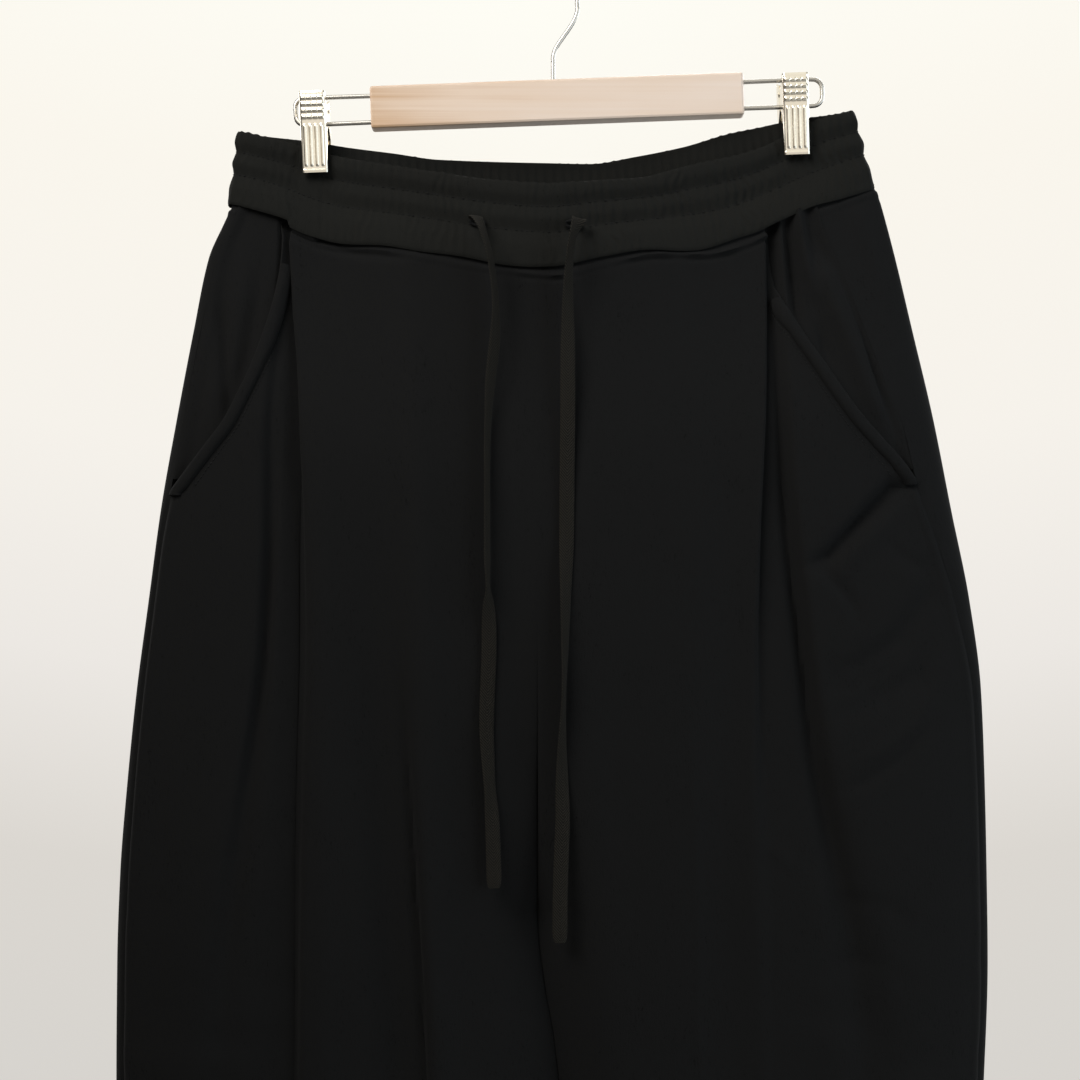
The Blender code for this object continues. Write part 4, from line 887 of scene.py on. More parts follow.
def wood():
    """Pale wood with long grain; its colour is painted lighter from the redder left end of the bar towards
    the middle, a painted highlight for the glare on the bar.
    """
    material, tree, shader = new_material("bar_wood", (233, 209, 180), 0.42)
    grain = noise_field(tree, (5.0, 90.0, 420.0), 1.0, 4.0)
    cloud = noise_field(tree, (7.0, 30.0, 34.0), 1.0, 2.0)
    x = axes_of(tree, tree.nodes.new("ShaderNodeTexCoord").outputs["Object"])[0]
    # Painted highlight: the colour grows lighter from the left end of the bar to just right of its middle,
    # standing in for the glare on it.
    painted_glare = map_range(tree, x, (-0.13, 0.05), (-0.26, 0.10))
    mixed = add_values(tree, add_values(tree, painted_glare, grain, 0.34), cloud, 0.62)
    colour = colour_ramp(tree, mixed, (0.14, (204, 156, 104)), (0.42, (243, 218, 196)),
                         (0.68, (250, 231, 216)))
    fill(tree, shader, Base_Color=colour, Coat_Weight=0.25, Coat_Roughness=0.3)
    add_bump(tree, shader, grain, 0.0002, 0.25)
    return material


def metal(name, colour, roughness, scratch, marked=0.12):
    """Metal whose roughness wavers; scratch stretches its marks."""
    material, tree, shader = new_material(name, colour, roughness, 1.0)
    marks = noise_field(tree, scratch, 1.0, 4.0)
    fill(tree, shader, Roughness=map_range(tree, marks, (0.0, 1.0), (roughness * 0.7, roughness * 1.5)))
    add_bump(tree, shader, marks, 0.00003, marked)
    return material


def make_materials():
    return {
        "cloth": fabric("sweat_knit", (9, 9, 9), (27, 27, 27), 0.014),
        "band": fabric("waistband_knit", (13, 13, 12), (32, 32, 30), 0.014, (1300.0, 1300.0, 120.0)),
        "braid": braid(),
        "thread": fabric("sewing_thread", (20, 20, 20), (36, 36, 36), 0.02, (2500.0, 2500.0, 2500.0)),
        "wood": wood(),
        "nickel": metal("clip_nickel", (240, 232, 216), 0.16, (300.0, 300.0, 90.0)),
        "steel": metal("wire_steel", (186, 182, 175), 0.24, (90.0, 90.0, 90.0), 0.03),
    }


# ---- Finer form of the cloth ----

# Sharper creases, as rows of X, down, height (below 0 a groove) and half width
FRONT_CREASES = {
    "left_line": (
        (-97, 400, 0, 4), (-94, 455, -1.2, 3.5), (-90, 500, -2.6, 3.2), (-87, 545, -3.4, 3),
        (-84, 600, -3.8, 2.8), (-80.5, 662, -3.8, 2.8), (-78.5, 712, -3.4, 2.8), (-80, 800, -2, 3.5),
        (-84, 900, 0, 4),
    ),
    "left_lip": (
        (-89, 420, 0, 5), (-86, 470, 1, 5), (-82, 520, 1.8, 5), (-79, 560, 2.2, 5), (-76, 612, 2.2, 5),
        (-72.5, 670, 2, 5), (-71, 730, 1.5, 6), (-74, 850, 0, 7),
    ),
    "middle_valley": (
        (-24, 340, 0, 11), (-21, 440, -1.8, 11), (-18, 510, -2.2, 11), (-16, 580, -1, 11), (-16, 640, 0, 11),
    ),
    "left_side_rise": (
        (-240, 345, 0, 8), (-247, 410, 1.8, 9), (-256, 520, 2.4, 9), (-262, 640, 2, 10), (-262, 760, 0, 12),
    ),
    "right_groove": (
        (147, 320, 0, 4.5), (151, 350, -0.8, 4.5), (155, 375, -1.5, 4.5), (157, 400, -1.8, 4.5),
        (160, 437, -2, 4.5), (166, 508, -2, 5), (176, 556, -1.6, 5.5), (188, 603, -1, 6.5), (196, 650, 0, 8),
    ),
    "right_wedge": (
        (165, 464, 0, 8), (196, 454, -2.6, 8), (222, 438, -3.8, 8), (240, 412, -3, 8), (247, 380, 0, 8),
    ),
    "right_drag_low": (
        (231, 340, -1.4, 2.8), (216, 342, -3.4, 3.6), (205, 353, -3.2, 3.8), (195, 363, -3.6, 3),
        (183, 376, -1.8, 3.6), (176, 384, -2.4, 3), (163, 390, -0.5, 3.5),
    ),
    "right_drag_lip": (
        (226, 352, 0, 6), (206, 368, 2.2, 6), (190, 384, 1.6, 6), (174, 398, 0, 6),
    ),
    "right_drag_soft": (
        (170, 384, 0, 5), (186, 405, -0.8, 5), (201, 424, 0, 6),
    ),
    "right_thread": (
        (88, 474, 0, 2.5), (91, 540, 0.7, 2.5), (93, 600, 1, 2.5), (94, 700, 0.9, 3), (95, 800, 0, 4),
    ),
    "right_slant": (
        (125, 556, 0, 4), (148, 575, 0.9, 4), (163, 588, 0, 4),
    ),
    "right_cross": (
        (168, 470, 0, 4), (190, 467, -1.3, 4), (214, 456, -1.4, 4), (236, 438, 0, 4),
    ),
    "right_branch": (
        (166, 388, 0, 3.5), (176, 396, -1.7, 3.5), (190, 414, -1.8, 3.5), (198, 432, 0, 4),
    ),
    "right_ray": (
        (210, 372, 0, 5), (222, 384, -1.2, 5), (236, 392, -1.2, 5), (246, 392, 0, 5),
    ),
    "right_low": (
        (176, 532, 0, 4), (198, 527, -1.5, 4), (224, 512, -1.6, 4), (246, 486, 0, 4),
    ),
    "right_low_rise": (
        (182, 518, 0, 5), (206, 508, 1.6, 5), (232, 490, 1.4, 5), (250, 462, 0, 5),
    ),
    "right_knee": (
        (168, 610, 0, 5), (190, 601, -0.9, 4.5), (214, 604, -0.8, 5), (232, 620, 0, 5),
    ),
    "right_knee_low": (
        (160, 655, 0, 5), (182, 640, -0.8, 5), (210, 640, -0.7, 5), (236, 664, 0, 5),
    ),
    "left_knee": (
        (-176, 585, 0, 6), (-196, 572, -0.5, 6), (-222, 580, -0.4, 6), (-240, 600, 0, 6),
    ),
    "left_edge_dip": (
        (-236, 360, 0, 6), (-240, 420, -1, 6), (-247, 500, -1.2, 7), (-252, 600, -1, 8), (-253, 700, 0, 8),
    ),
    "left_groove": (
        (-171, 270, 0, 3.5), (-174, 335, -1.5, 3.5), (-177, 400, -2.2, 3.5), (-180, 450, -2.2, 3.5),
        (-187, 505, -2.8, 4.2), (-193, 545, -2.8, 4.8), (-199, 590, -2.4, 6), (-205, 650, -1.8, 8),
        (-208, 720, -1, 10), (-211, 790, 0, 12),
    ),
    "waist_gap": (
        (-170, 172, -3.2, 4), (-150, 181, -3.4, 4), (-128, 189, -2.6, 4), (-105, 193, -1.2, 4),
        (-88, 195, 0, 4),
    ),
}
FACING_FOLDS = {
    "left": {
        "fold": (
            (-212, 205, 0, 3.4), (-211, 234, -2.4, 3), (-208.5, 262, -3.2, 3), (-205.5, 290, -3, 3),
            (-204, 306, -1, 3),
        ),
        "swell": (
            (-219, 215, 0, 6), (-219, 250, 2, 6), (-216, 280, 2.2, 6), (-214, 310, 0, 6),
        ),
        "shade": (
            (-186, 190, 0, 5), (-189, 225, -2.2, 6), (-195, 258, -2.4, 6), (-204, 288, -1, 6),
        ),
        "crown": (
            (-196, 188, 0, 7), (-199, 222, 1.8, 7), (-203, 262, 1.6, 6), (-206, 288, 0, 6),
        ),
    },
    "right": {
        "roll": (
            (160, 162, 5, 3.6), (163, 184, 5.6, 3.8), (166, 201, 5, 4), (170, 216, 2, 5),
        ),
        "bulge": (
            (172, 192, 1, 6), (177, 206, 5.6, 7), (184, 228, 7, 8), (194, 252, 6.6, 8), (205, 282, 5, 7),
            (214, 300, 2.5, 6), (222, 316, 0, 6),
        ),
        "gap": (
            (153, 170, -2.4, 2.6), (155.5, 188, -4.4, 3), (157.5, 208, -5.6, 3.4), (158.5, 226, -5, 3.2),
            (161, 240, 0, 3),
        ),
        "low_gap": (
            (173, 232, 0, 3), (176, 250, -2.6, 2.6), (181, 266, 0, 3),
        ),
        "neck": (
            (148, 168, 1.6, 4), (149, 190, 1.6, 4), (151, 210, 0, 5),
        ),
        "seam": (
            (184, 184, 0, 3), (189, 206, -3.4, 2.6), (198, 232, -4.4, 2.6), (208, 268, -3.8, 2.6),
            (220, 304, -1, 3), (228, 324, 0, 3),
        ),
    },
}
BACK_CREASES = {
    "right_sliver": (
        (196, 158, 0, 4), (201, 170, 1.8, 4), (207, 184, 1.8, 4), (211, 205, 1.2, 4), (218, 235, 0, 4),
    ),
    "left_sag": (
        (-60, 250, 0, 6), (-88, 300, -1.4, 6), (-120, 330, -1, 7), (-150, 345, 0, 8),
    ),
    "right_sag": (
        (50, 262, 0, 6), (80, 315, -1.4, 6), (112, 345, -1, 7), (142, 356, 0, 8),
    ),
    "left_knee": (
        (-210, 560, 0, 6), (-180, 585, -1.2, 5), (-150, 592, -0.6, 6), (-130, 590, 0, 6),
    ),
    "right_knee": (
        (214, 600, 0, 6), (186, 628, -1.2, 5), (150, 640, -0.7, 6), (128, 640, 0, 6),
    ),
    "left_line": (
        (-70, 520, 0, 3), (-76, 640, -1.4, 3), (-84, 780, -1.2, 3), (-92, 900, 0, 4),
    ),
    "right_line": (
        (66, 500, 0, 3), (72, 620, -1.4, 3), (82, 760, -1.2, 3), (94, 900, 0, 4),
    ),
}


def noise(points, size, seed):
    """Smooth noise from -1 to 1 with cells of the given size."""
    cells = 48
    table = np.random.RandomState(seed).uniform(-1.0, 1.0, (cells,) * 3)
    q = points / np.array(size)
    low = np.floor(q).astype(int)
    t = q - low
    t = t * t * (3.0 - 2.0 * t)
    total = np.zeros(points.shape[:-1])
    for corner in np.ndindex(2, 2, 2):
        share = np.prod(np.where(np.array(corner) == 1, t, 1.0 - t), axis=-1)
        at = (low + corner) % cells
        total += share * table[at[..., 0], at[..., 1], at[..., 2]]
    return total


# Height of the rolled seam edge below the front of the waistband
SEAM_LIP = Table(
    "x high",
    (-180, 0.1), (-166, 1), (-110, 1.3), (-92, 0.3), (-30, 0.4), (-18, 1.3), (4, 1.3), (14, 0.4), (46, 0.6),
    (60, 1.7), (200, 1.7), (212, 0.3),
)


def waist_seam(face, x, height):
    """The cloth turns in under the waistband, with a rolled seam edge showing below it in places."""
    below = height - SEAM_DOWN
    tuck = -1.0 * (1.0 - smoothstep(0.0, 2.0, below))
    lip = SEAM_LIP.at("high", x) if face == "front" else 0.3
    uneven = 0.8 + 0.4 * np.sin(x * 0.21) * np.sin(x * 0.083 + 1.0)
    shift = 0.6 * np.sin(x * 0.07) + 0.5 * np.sin(x * 0.037 + 2.0)
    ridge = 0.9 * bell(below - 3.4 - shift, 1.4) - 0.6 * bell(below - 6.2 - shift, 1.6)
    return tuck + lip * uneven * ridge


def side_seam(side, points):
    """Groove of the side seam, and the ridge that its folded edges raise on the front panel."""
    down = -points[..., 2]
    inward = seam_edge(side, down) - sign_of(side) * points[..., 0]
    form = 1.1 * bell(inward - 4.6, 2.6) - 1.2 * bell(inward, 1.5)
    form = form * (1.0 if side == "left" else 0.7)
    below_pocket = smoothstep(POCKET_END[side] - 6.0, POCKET_END[side] + 12.0, down)
    return np.where(points[..., 1] < 0.0, form, 0.0) * below_pocket


def cloth_detail(face, side, points, heights):
    """Relief of the small creases and the cloth's own unevenness at each point."""
    x, down = points[..., 0], -points[..., 2]
    creases = FRONT_CREASES if face == "front" else BACK_CREASES
    total = fold_relief(creases, x, down)
    total += 0.5 * noise(points, (36.0, 60.0, 210.0), 3) + 0.12 * noise(points, (13.0, 13.0, 40.0), 5)
    total += 0.08 * noise(points, (5.0, 5.0, 9.0), 9)
    lower = smoothstep(520.0, 700.0, down) * smoothstep(110.0, 170.0, np.abs(x))
    total += lower * 0.9 * noise(points + (0.35 * points[..., 2:3] * (1, 0, 0)), (30.0, 30.0, 16.0), 11)
    out = sign_of(side) * x
    reach = outer_edge(side, down) - out
    return total * smoothstep(0.0, 12.0, reach) + waist_seam(face, x, heights) + side_seam(side, points)


# ---- Meshes ----


def add_mesh(name, points, faces, material, smooth_angle=50.0):
    mesh = bpy.data.meshes.new(name)
    mesh.from_pydata(points.tolist(), [], faces)
    mesh.update()
    volume = sum(mesh.vertices[p.vertices[0]].co.dot(p.normal) * p.area for p in mesh.polygons)
    if volume < 0.0:
        mesh.flip_normals()
    mesh.shade_smooth()
    mesh.set_sharp_from_angle(angle=math.radians(smooth_angle))
    mesh.materials.append(material)
    return new_object(name, mesh)


def finish_piece(obj, slot, *nodes):
    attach(obj, "root")
    if nodes:
        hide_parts(*nodes)
    return obj


def cloth_piece(node, outer, inner, materials):
    piece = wall_mesh(f"{node}_cloth", outer, inner, materials["cloth"])
    return finish_piece(piece, "black_sweat_fabric", node)


def grid_faces(columns, rows, start=0, flip=False, loop=False, tube=False):
    """Quads of a grid of points; a loop joins its last column to the first, and a tube its last row."""
    i, j = np.meshgrid(np.arange(columns - (not loop)), np.arange(rows - (not tube)), indexing="ij")
    a, b, up = i * rows, (i + 1) % columns * rows, (j + 1) % rows
    quads = np.stack([a + j, b + j, b + up, a + up], axis=-1).reshape(-1, 4) + start
    return (quads[:, ::-1] if flip else quads).tolist()


def tube_faces(count, sides):
    """Quads round a line of rings, and a cap at each end."""
    last = range((count - 1) * sides, count * sides)
    return grid_faces(count, sides, tube=True) + [list(range(sides)), list(last)[::-1]]


def wall_mesh(name, outer, inner, material):
    """Closed wall between two grids of points (columns, rows, xyz) in millimetres."""
    columns, rows = outer.shape[:2]
    count = columns * rows
    points = np.concatenate([outer.reshape(-1, 3), inner.reshape(-1, 3)]) * MM
    faces = grid_faces(columns, rows) + grid_faces(columns, rows, count, flip=True)
    border = [i * rows for i in range(columns)] + [(columns - 1) * rows + j for j in range(1, rows)]
    border += [i * rows + rows - 1 for i in range(columns - 2, -1, -1)] + list(range(rows - 2, 0, -1))
    faces += [(b, a, a + count, b + count) for a, b in zip(border, border[1:] + border[:1])]
    return add_mesh(name, points, faces, material)


# Stretches of rows (from, to, pitch), closer together where there is more to see, and the rows of the hem
ROW_STRETCHES = ((SEAM_DOWN - TUCK, 193.0, 1.1), (193.0, 300.0, 2.5), (300.0, 720.0, 3.1),
                 (720.0, 1088.0, 6.0))
HEM_ROWS = (1088.0, 1092.0, 1094.0, 1095.5, 1101.0, 1108.0, 1114.0, HEM_DOWN)
POCKET_BAND_COLUMNS = 13
# Surface, columns and middle seam's column of the front and the back panels
PANELS = {
    "front": (front_surface, np.concatenate([
        np.linspace(-1.0, 0.0, POCKET_BAND_COLUMNS), np.linspace(0.0, 1.0, 58)[1:],
        1.0 + np.linspace(0.0, 1.0, 37)[1:-1], 2.0 + np.linspace(0.0, 1.0, 76)]), -1),
    "back": (back_surface, np.concatenate([
        np.linspace(0.0, 1.0, 84), 1.0 + np.linspace(0.0, 1.0, 12)[1:]]), 0),
}


def fine_rows(side):
    """Row heights of the visible panels, one of them at the pocket's end."""
    rows = np.concatenate([*(np.arange(*stretch) for stretch in ROW_STRETCHES), HEM_ROWS])
    rows[np.argmin(np.abs(rows - POCKET_END[side]))] = POCKET_END[side]
    return rows


def detailed_walls(side, face, rows):
    """Outer and inner grid of a panel with its small creases."""
    surface, u, middle_column = PANELS[face]
    columns, heights = np.meshgrid(u, rows, indexing="ij")
    points = surface(side, columns, heights)
    normals = normals_of(surface, side, columns, heights)
    seam_columns(side, face, points, normals, middle_column, rows)
    detail = cloth_detail(face, side, points, heights)
    half = CLOTH / 2
    hem = smoothstep(HEM_DOWN - HEM_HEIGHT, HEM_DOWN - HEM_HEIGHT + 1.5, heights)
    depth = (half + hem * (HEM_WALL - CLOTH))[..., None]
    outer = points + normals * (half + detail)[..., None]
    inner = points - normals * depth + normals * (0.9 * detail)[..., None]
    keep_clear(side, face, outer, inner, rows)
    return outer, inner


def add_panels(side, materials):
    rows = fine_rows(side)
    for face in PANELS:
        outer, inner = detailed_walls(side, face, rows)
        panel = cloth_piece(f"{face}_{side}", outer, inner, materials)
        bands = [add_pocket_band(side, outer, inner, rows, materials)] if face == "front" else []


def add_pocket_band(side, outer, inner, rows, materials):
    """Rolled edge of the pocket's mouth, on the front panel's first columns."""
    count = POCKET_BAND_COLUMNS
    shown = (rows >= POCKET_BAND_START[side]) & (rows <= POCKET_END[side])
    skin = outer[:count, shown]
    normals = unit(skin - inner[:count, shown])
    t = np.linspace(0.0, 1.0, count)[:, None]
    roll = POCKET_BAND_RISE * np.sqrt(np.clip(1.0 - np.abs(2.0 * t - 1.0) ** 2.2, 0.02, 1.0))
    base = skin + normals * 0.05
    return cloth_piece(f"pocket_band_{side}", base + normals * roll[..., None], base, materials)


def add_facing(side, materials):
    rows = np.arange(SEAM_DOWN - TUCK, POCKET_END[side] - 8.0, 3.0)
    u = np.concatenate([np.linspace(0.0, 1.0, 30), np.linspace(1.0, 2.0, 8)[1:]])
    columns, heights = np.meshgrid(u, rows, indexing="ij")
    points = facing_surface(side, columns, heights)
    normals = normals_of(facing_surface, side, columns, heights)
    relief = fold_relief(FACING_FOLDS[side], points[..., 0], -points[..., 2])
    relief = relief * smoothstep(0.0, 0.15, columns) + 0.5 * noise(points, (18.0, 18.0, 50.0), 21)
    level = points + normals * (relief - facing_drop(side, columns, heights))[..., None]
    node, half = f"pocket_facing_{side}", normals * CLOTH / 2
    cloth_piece(node, level + half, level - half, materials)


# ---- Waistband ----

BAND_SAMPLES = 8  # columns for each gather
BAND_ROWS = 44
INNER_EVERY = 4  # the inside has one row for this many outside
BAND_THINNING = 1.2  # the wall is thinner by this at its top
BAND_RIPPLE = 0.45  # of the inside, with the gathers
STITCH_ROWS = (0.27, 0.57)
# Relief of the channels, and height of the gathers on them
BAND_FORM = Table(
    "height puff gather",
    (0, -1.2, 0.3), (0.03, -0.2, 0.46), (0.13, 0.6, 0.66), (0.27, -1, 0.42), (0.42, 0.7, 0.66),
    (0.57, -1, 0.46), (0.76, 0.6, 0.5), (0.92, 0.6, 0.34), (0.975, 0.5, 0.22), (1, -0.2, 0.1),
)


def band_relief(angles, run, height):
    """Channels, sewn rows and gathers of the waistband; run is the distance round it in gathers."""
    puff = BAND_FORM.at("puff", height)
    gather = BAND_FORM.at("gather", height)
    where = np.stack([run * 1.0, height * 6.0, np.zeros_like(run)], axis=-1)
    depth = np.maximum(0.72 + 0.75 * noise(where, (1.7, 2.0, 1.0), 31), 0.08)
    depth = depth * (0.8 + 0.3 * smoothstep(0.2, 0.9, -np.cos(angles)))
    wander = 0.62 * noise(where, (2.6, 1.3, 1.0), 33)
    crest = np.cos(2.0 * math.pi * (run + wander))
    relief = puff + gather * depth * crest * 0.75
    for row in STITCH_ROWS:
        relief = relief - 0.35 * bell(height - row, 0.018)
    return relief * clip_calm(angles) + 0.15 * noise(where, (0.7, 0.6, 1.0), 35)


STEP_X = -167.5  # where the lower edge steps down, on the front


def band_edges(points, run, height):
    """Rise of the uneven lower edge, and the small scallops that the gathers give the upper edge."""
    x = points[..., 0]
    where = np.stack([run, x * 0.0, x * 0.0], axis=-1)
    wave = 0.9 * np.sin(0.085 * x + 0.6) * np.sin(0.031 * x + 1.9) + 0.8 * noise(where, (5.0, 1.0, 1.0), 37)
    scallop = 0.35 * np.cos(2.0 * math.pi * run) + 0.5 * noise(where, (2.0, 1.0, 1.0), 39)
    step = np.where(x < STEP_X, 1.7 * bell(x - STEP_X, 14.0), -2.2 * bell(x - STEP_X, 24.0))
    wave += np.where(points[..., 1] < 0.0, step, 0.0)
    return wave * smoothstep(0.7, 1.0, height) + scallop * smoothstep(0.12, 0.0, height)


def add_waistband(materials):
    columns = GATHERS * BAND_SAMPLES
    angles, height = np.meshgrid(even_angles(columns), np.linspace(0.0, 1.0, BAND_ROWS), indexing="ij")
    run = np.broadcast_to((np.arange(columns) / BAND_SAMPLES)[:, None], angles.shape)
    points, normals = band_surface(angles, height), band_normals(angles, height)
    outer = points + normals * band_relief(angles, run, height)[..., None]
    outer[..., 2] += band_edges(points, run, height)
    few_angles, few_run, high = (grid[:, ::INNER_EVERY] for grid in (angles, run, height))
    thick = BAND_WALL - BAND_THINNING + BAND_THINNING * smoothstep(0.0, 0.3, high)
    ripple = BAND_RIPPLE * np.cos(2.0 * math.pi * few_run) * (1.0 - np.abs(2.0 * high - 1.0) ** 6)
    inner = band_surface(few_angles, high)
    inner = inner - normals[:, ::INNER_EVERY] * (thick + ripple - BAND_RIPPLE)[..., None]
    rows, few, count = BAND_ROWS, inner.shape[1], columns * BAND_ROWS
    both = np.concatenate([outer.reshape(-1, 3), inner.reshape(-1, 3)]) * MM
    faces = grid_faces(columns, rows, loop=True) + grid_faces(columns, few, count, flip=True, loop=True)
    for edge, under in ((0, 0), (rows - 1, few - 1)):
        for i in range(columns):
            n = (i + 1) % columns
            faces.append((i * rows + edge, n * rows + edge, count + n * few + under, count + i * few + under))
    band = add_mesh("waistband_cloth", both, faces, materials["band"])
    finish_piece(band, "black_waistband", "waistband")


# ---- Drawstrings ----

TAPE_THICKNESS = 1.7
CORD_INSIDE = ((2.2, 7.5), (1.1, 2.4))  # how far out and back the first points lie, inside the buttonhole
CORD_LIE = (-3.0, 5.5)  # how far the tape may move back to lie on the cloth
# Turn of the flat tape along each cord: 0 faces the front, 90 stands edge on
TAPE_TURN = {
    "drawstring_left": Table(
        "down turn",
        (171, 34), (174, 48), (181, 62), (200, 68), (228, 66), (255, 45), (275, 50), (300, 68), (345, 72),
        (385, 70), (402, 80), (418, 35), (434, 10), (470, 12), (500, 24), (530, 42), (550, 20), (592, 8),
    ),
    "drawstring_right": Table(
        "down turn",
        (173, 34), (176, 46), (183, 60), (195, 62), (215, 50), (235, 34), (255, 16), (290, 6), (370, 10),
        (395, 32), (415, 48), (440, 62), (470, 76), (500, 58), (530, 28), (560, 12), (626, 6),
    ),
}


def tape_section():
    """Rounded flat section: its points across the width and through the thickness."""
    turn = round_turn(14)
    across = np.sign(np.cos(turn)) * np.abs(np.cos(turn)) ** 0.6 * (CORD_WIDTH / 2)
    return across, np.sin(turn) * (TAPE_THICKNESS / 2)


def add_drawstring(name, materials):
    x, y, start = CORDS[name][0]
    route = [(x + aside * np.sign(x), y + back, 1.0 - start) for aside, back in CORD_INSIDE]
    path = curve_through(route + [(x, y, -down) for x, y, down in CORDS[name][1:]], 200)
    down = -path[:, 2]
    turn = np.radians(TAPE_TURN[name].at("turn", down))
    cloth = -body_depth("front", name.split("_")[1], path[:, 0], down) - CLOTH / 2
    room = cloth - CORD_WIDTH / 2 * np.sin(turn) - TAPE_THICKNESS / 2 - 0.3 - path[:, 1]
    lie = np.clip(room, *CORD_LIE) * smoothstep(180.0, 215.0, down)
    lie = np.convolve(np.pad(lie, 6, mode="edge"), np.ones(13) / 13, mode="valid")
    centre = path + lie[:, None] * (0.0, 1.0, 0.0)
    tangent = unit(np.gradient(centre, axis=0))
    flat = np.stack([np.cos(turn), np.sin(turn), np.zeros_like(turn)], axis=-1)
    flat = unit(flat - tangent * np.sum(flat * tangent, axis=-1, keepdims=True))
    thick = np.cross(tangent, flat)
    across, deep = tape_section()
    taper = np.ones_like(turn)
    taper[-3:], taper[0] = (0.97, 0.9, 0.7), 0.8
    section = flat[:, None] * across[:, None] + thick[:, None] * deep[:, None]
    rings = centre[:, None] + section * taper[:, None, None]
    run = run_along(centre)
    count, sides = rings.shape[:2]
    cord = add_mesh(f"{name}_tape", rings.reshape(-1, 3) * MM, tube_faces(count, sides), materials["braid"])
    layer = cord.data.attributes.new("tape", "FLOAT_VECTOR", "POINT")
    values = np.zeros((count, sides, 3))
    values[..., 0], values[..., 1] = across[None, :], run[:, None]
    layer.data.foreach_set("vector", values.reshape(-1))
    finish_piece(cord, "black_brown_braid", name)


# ---- Hanger ----

# Level of the plate's middle and of the edge of its flanges, down the jaw
JAW_SIDE = Table(
    "below plate flange",
    (-25.7, 12.9, 10.4), (-24.6, 13.2, 9), (-21, 13, 5), (-16.6, 12.7, 2.1), (-7.8, 11.9, 2.1),
    (-5, 11.6, 3), (1, 11, 7.4), (22.5, 10, 7.3), (25.7, 9.4, 6.6),
)
JAW_STRETCHES = ((-25.7, -5.0, 0.36), (-5.0, 20.0, 0.8), (20.0, 25.8, 0.36))  # rows: from, to, pitch
JAW_BEND = 1.1  # radius of the bend between plate and flange
GRIP_RIDGES = (-21.4, -17.4, -13.4, -9.4)
WIRE_SIDES = 20


def closed_tube(name, points, radii, material, matrix=None):
    """Round wire along a line of points."""
    tangent = unit(np.gradient(points, axis=0))
    side_way = unit(np.cross(tangent, np.array((0.0, 1.0, 0.0))))
    other = np.cross(tangent, side_way)
    turn = round_turn(WIRE_SIDES)[None, :, None]
    rings = side_way[:, None] * np.cos(turn) + other[:, None] * np.sin(turn)
    rings = (points[:, None] + rings * radii[:, None, None]).reshape(-1, 3) * MM
    if matrix is not None:
        rings = np.array([matrix @ Vector(p) for p in rings])
    return add_mesh(name, rings, tube_faces(len(points), WIRE_SIDES), material)


def add_wires(materials):
    """The steel wires again, round instead of faceted."""
    for side in SIDES:
        route = curve_through(rack_route(side), 90)
        wire = closed_tube(f"rack_wire_{side}_round", route, np.full(90, WIRE / 2), materials["steel"],
                           hanger_matrix())
        finish_piece(wire, "steel_wire", f"rack_wire_{side}")
    points, end, way = hook_route()
    turns = np.radians(np.arange(30.0, 178.0, 12.0))
    knob = [end + way * HOOK_BALL * (1.0 - math.cos(turn)) for turn in turns]
    route = np.concatenate([curve_through(points, 200), knob])
    radii = np.concatenate([np.full(200, WIRE / 2), np.maximum(HOOK_BALL * np.sin(turns), 0.15)])
    finish_piece(closed_tube("hook_round", route, radii, materials["steel"]), "steel_wire", "hook")


def jaw_relief(x, below):
    """Pressed ribs and the grip's cross ridges; x runs across the plate."""
    ribs = np.max([np.exp(-(((x - place) / 0.85) ** 4)) for place in RIB_PLACES], axis=0)
    length = smoothstep(-5.5, -3.6, below) * (1.0 - smoothstep(20.6, 22.4, below))
    rows = np.max([bell(below - place, 1.05) for place in GRIP_RIDGES], axis=0)
    between = np.min([np.abs(x - place) for place in (-3.6, 0.0, 3.6)], axis=0)
    cells = 0.55 + 0.45 * smoothstep(0.1, 0.8, between)
    inside = 1.0 - smoothstep(6.4, 7.4, np.abs(x))
    lip = 0.35 * smoothstep(23.0, 24.6, below)
    return (0.75 * ribs * length + 0.9 * rows * cells * (below < -6.0)) * inside + lip


def add_jaw(side, material):
    """Front jaw: a channel of pressed plate with rounded bends."""
    below = np.concatenate([np.arange(*stretch) for stretch in JAW_STRETCHES])
    half, bend = (CLIP_WIDTH - CLIP_WALL) / 2, JAW_BEND
    plate, flange = JAW_SIDE.at("plate", below), JAW_SIDE.at("flange", below)
    flange = np.minimum(flange, plate - bend - 0.4)

    def column(x, y):
        return np.stack([np.full_like(below, x), y], axis=-1)

    columns = [column(-half, flange + (plate - bend - flange) * t) for t in np.linspace(0.0, 0.95, 5)]
    columns += [column(-half + bend - bend * math.cos(a), plate - bend + bend * math.sin(a))
                for a in np.radians(np.linspace(0.0, 90.0, 6))]
    mirrored = [edge * (-1.0, 1.0) for edge in columns[::-1]]
    columns += [column(x, plate) for x in np.linspace(-half + bend, half - bend, 66)[1:-1]]
    grid = np.array(columns + mirrored)
    points = np.stack([grid[..., 0], -grid[..., 1], np.broadcast_to(-below, grid.shape[:2])], axis=-1)
    normals = unit(np.cross(np.gradient(points, axis=0), np.gradient(points, axis=1)))
    normals *= np.where(np.sum(normals * (points * (0.2, 1.0, 0.0)), axis=-1) < 0.0, -1.0, 1.0)[..., None]
    relief = jaw_relief(points[..., 0], np.broadcast_to(below, grid.shape[:2]))
    outer = points + normals * CLIP_WALL / 2
    outer[..., 1] -= relief
    inner = points - normals * CLIP_WALL / 2
    inner[..., 1] -= 0.5 * relief
    x, z = CLIP_CENTRE[side]
    matrix = hanger_matrix() @ Matrix.Translation(Vector((x, 0.0, z)) * MM)
    turn, move = np.array(matrix.to_3x3()), np.array(matrix.translation) / MM
    jaw = wall_mesh(f"clip_front_{side}_pressed", outer @ turn.T + move, inner @ turn.T + move, material)
    finish_piece(jaw, "nickel_plate", f"clip_front_{side}")


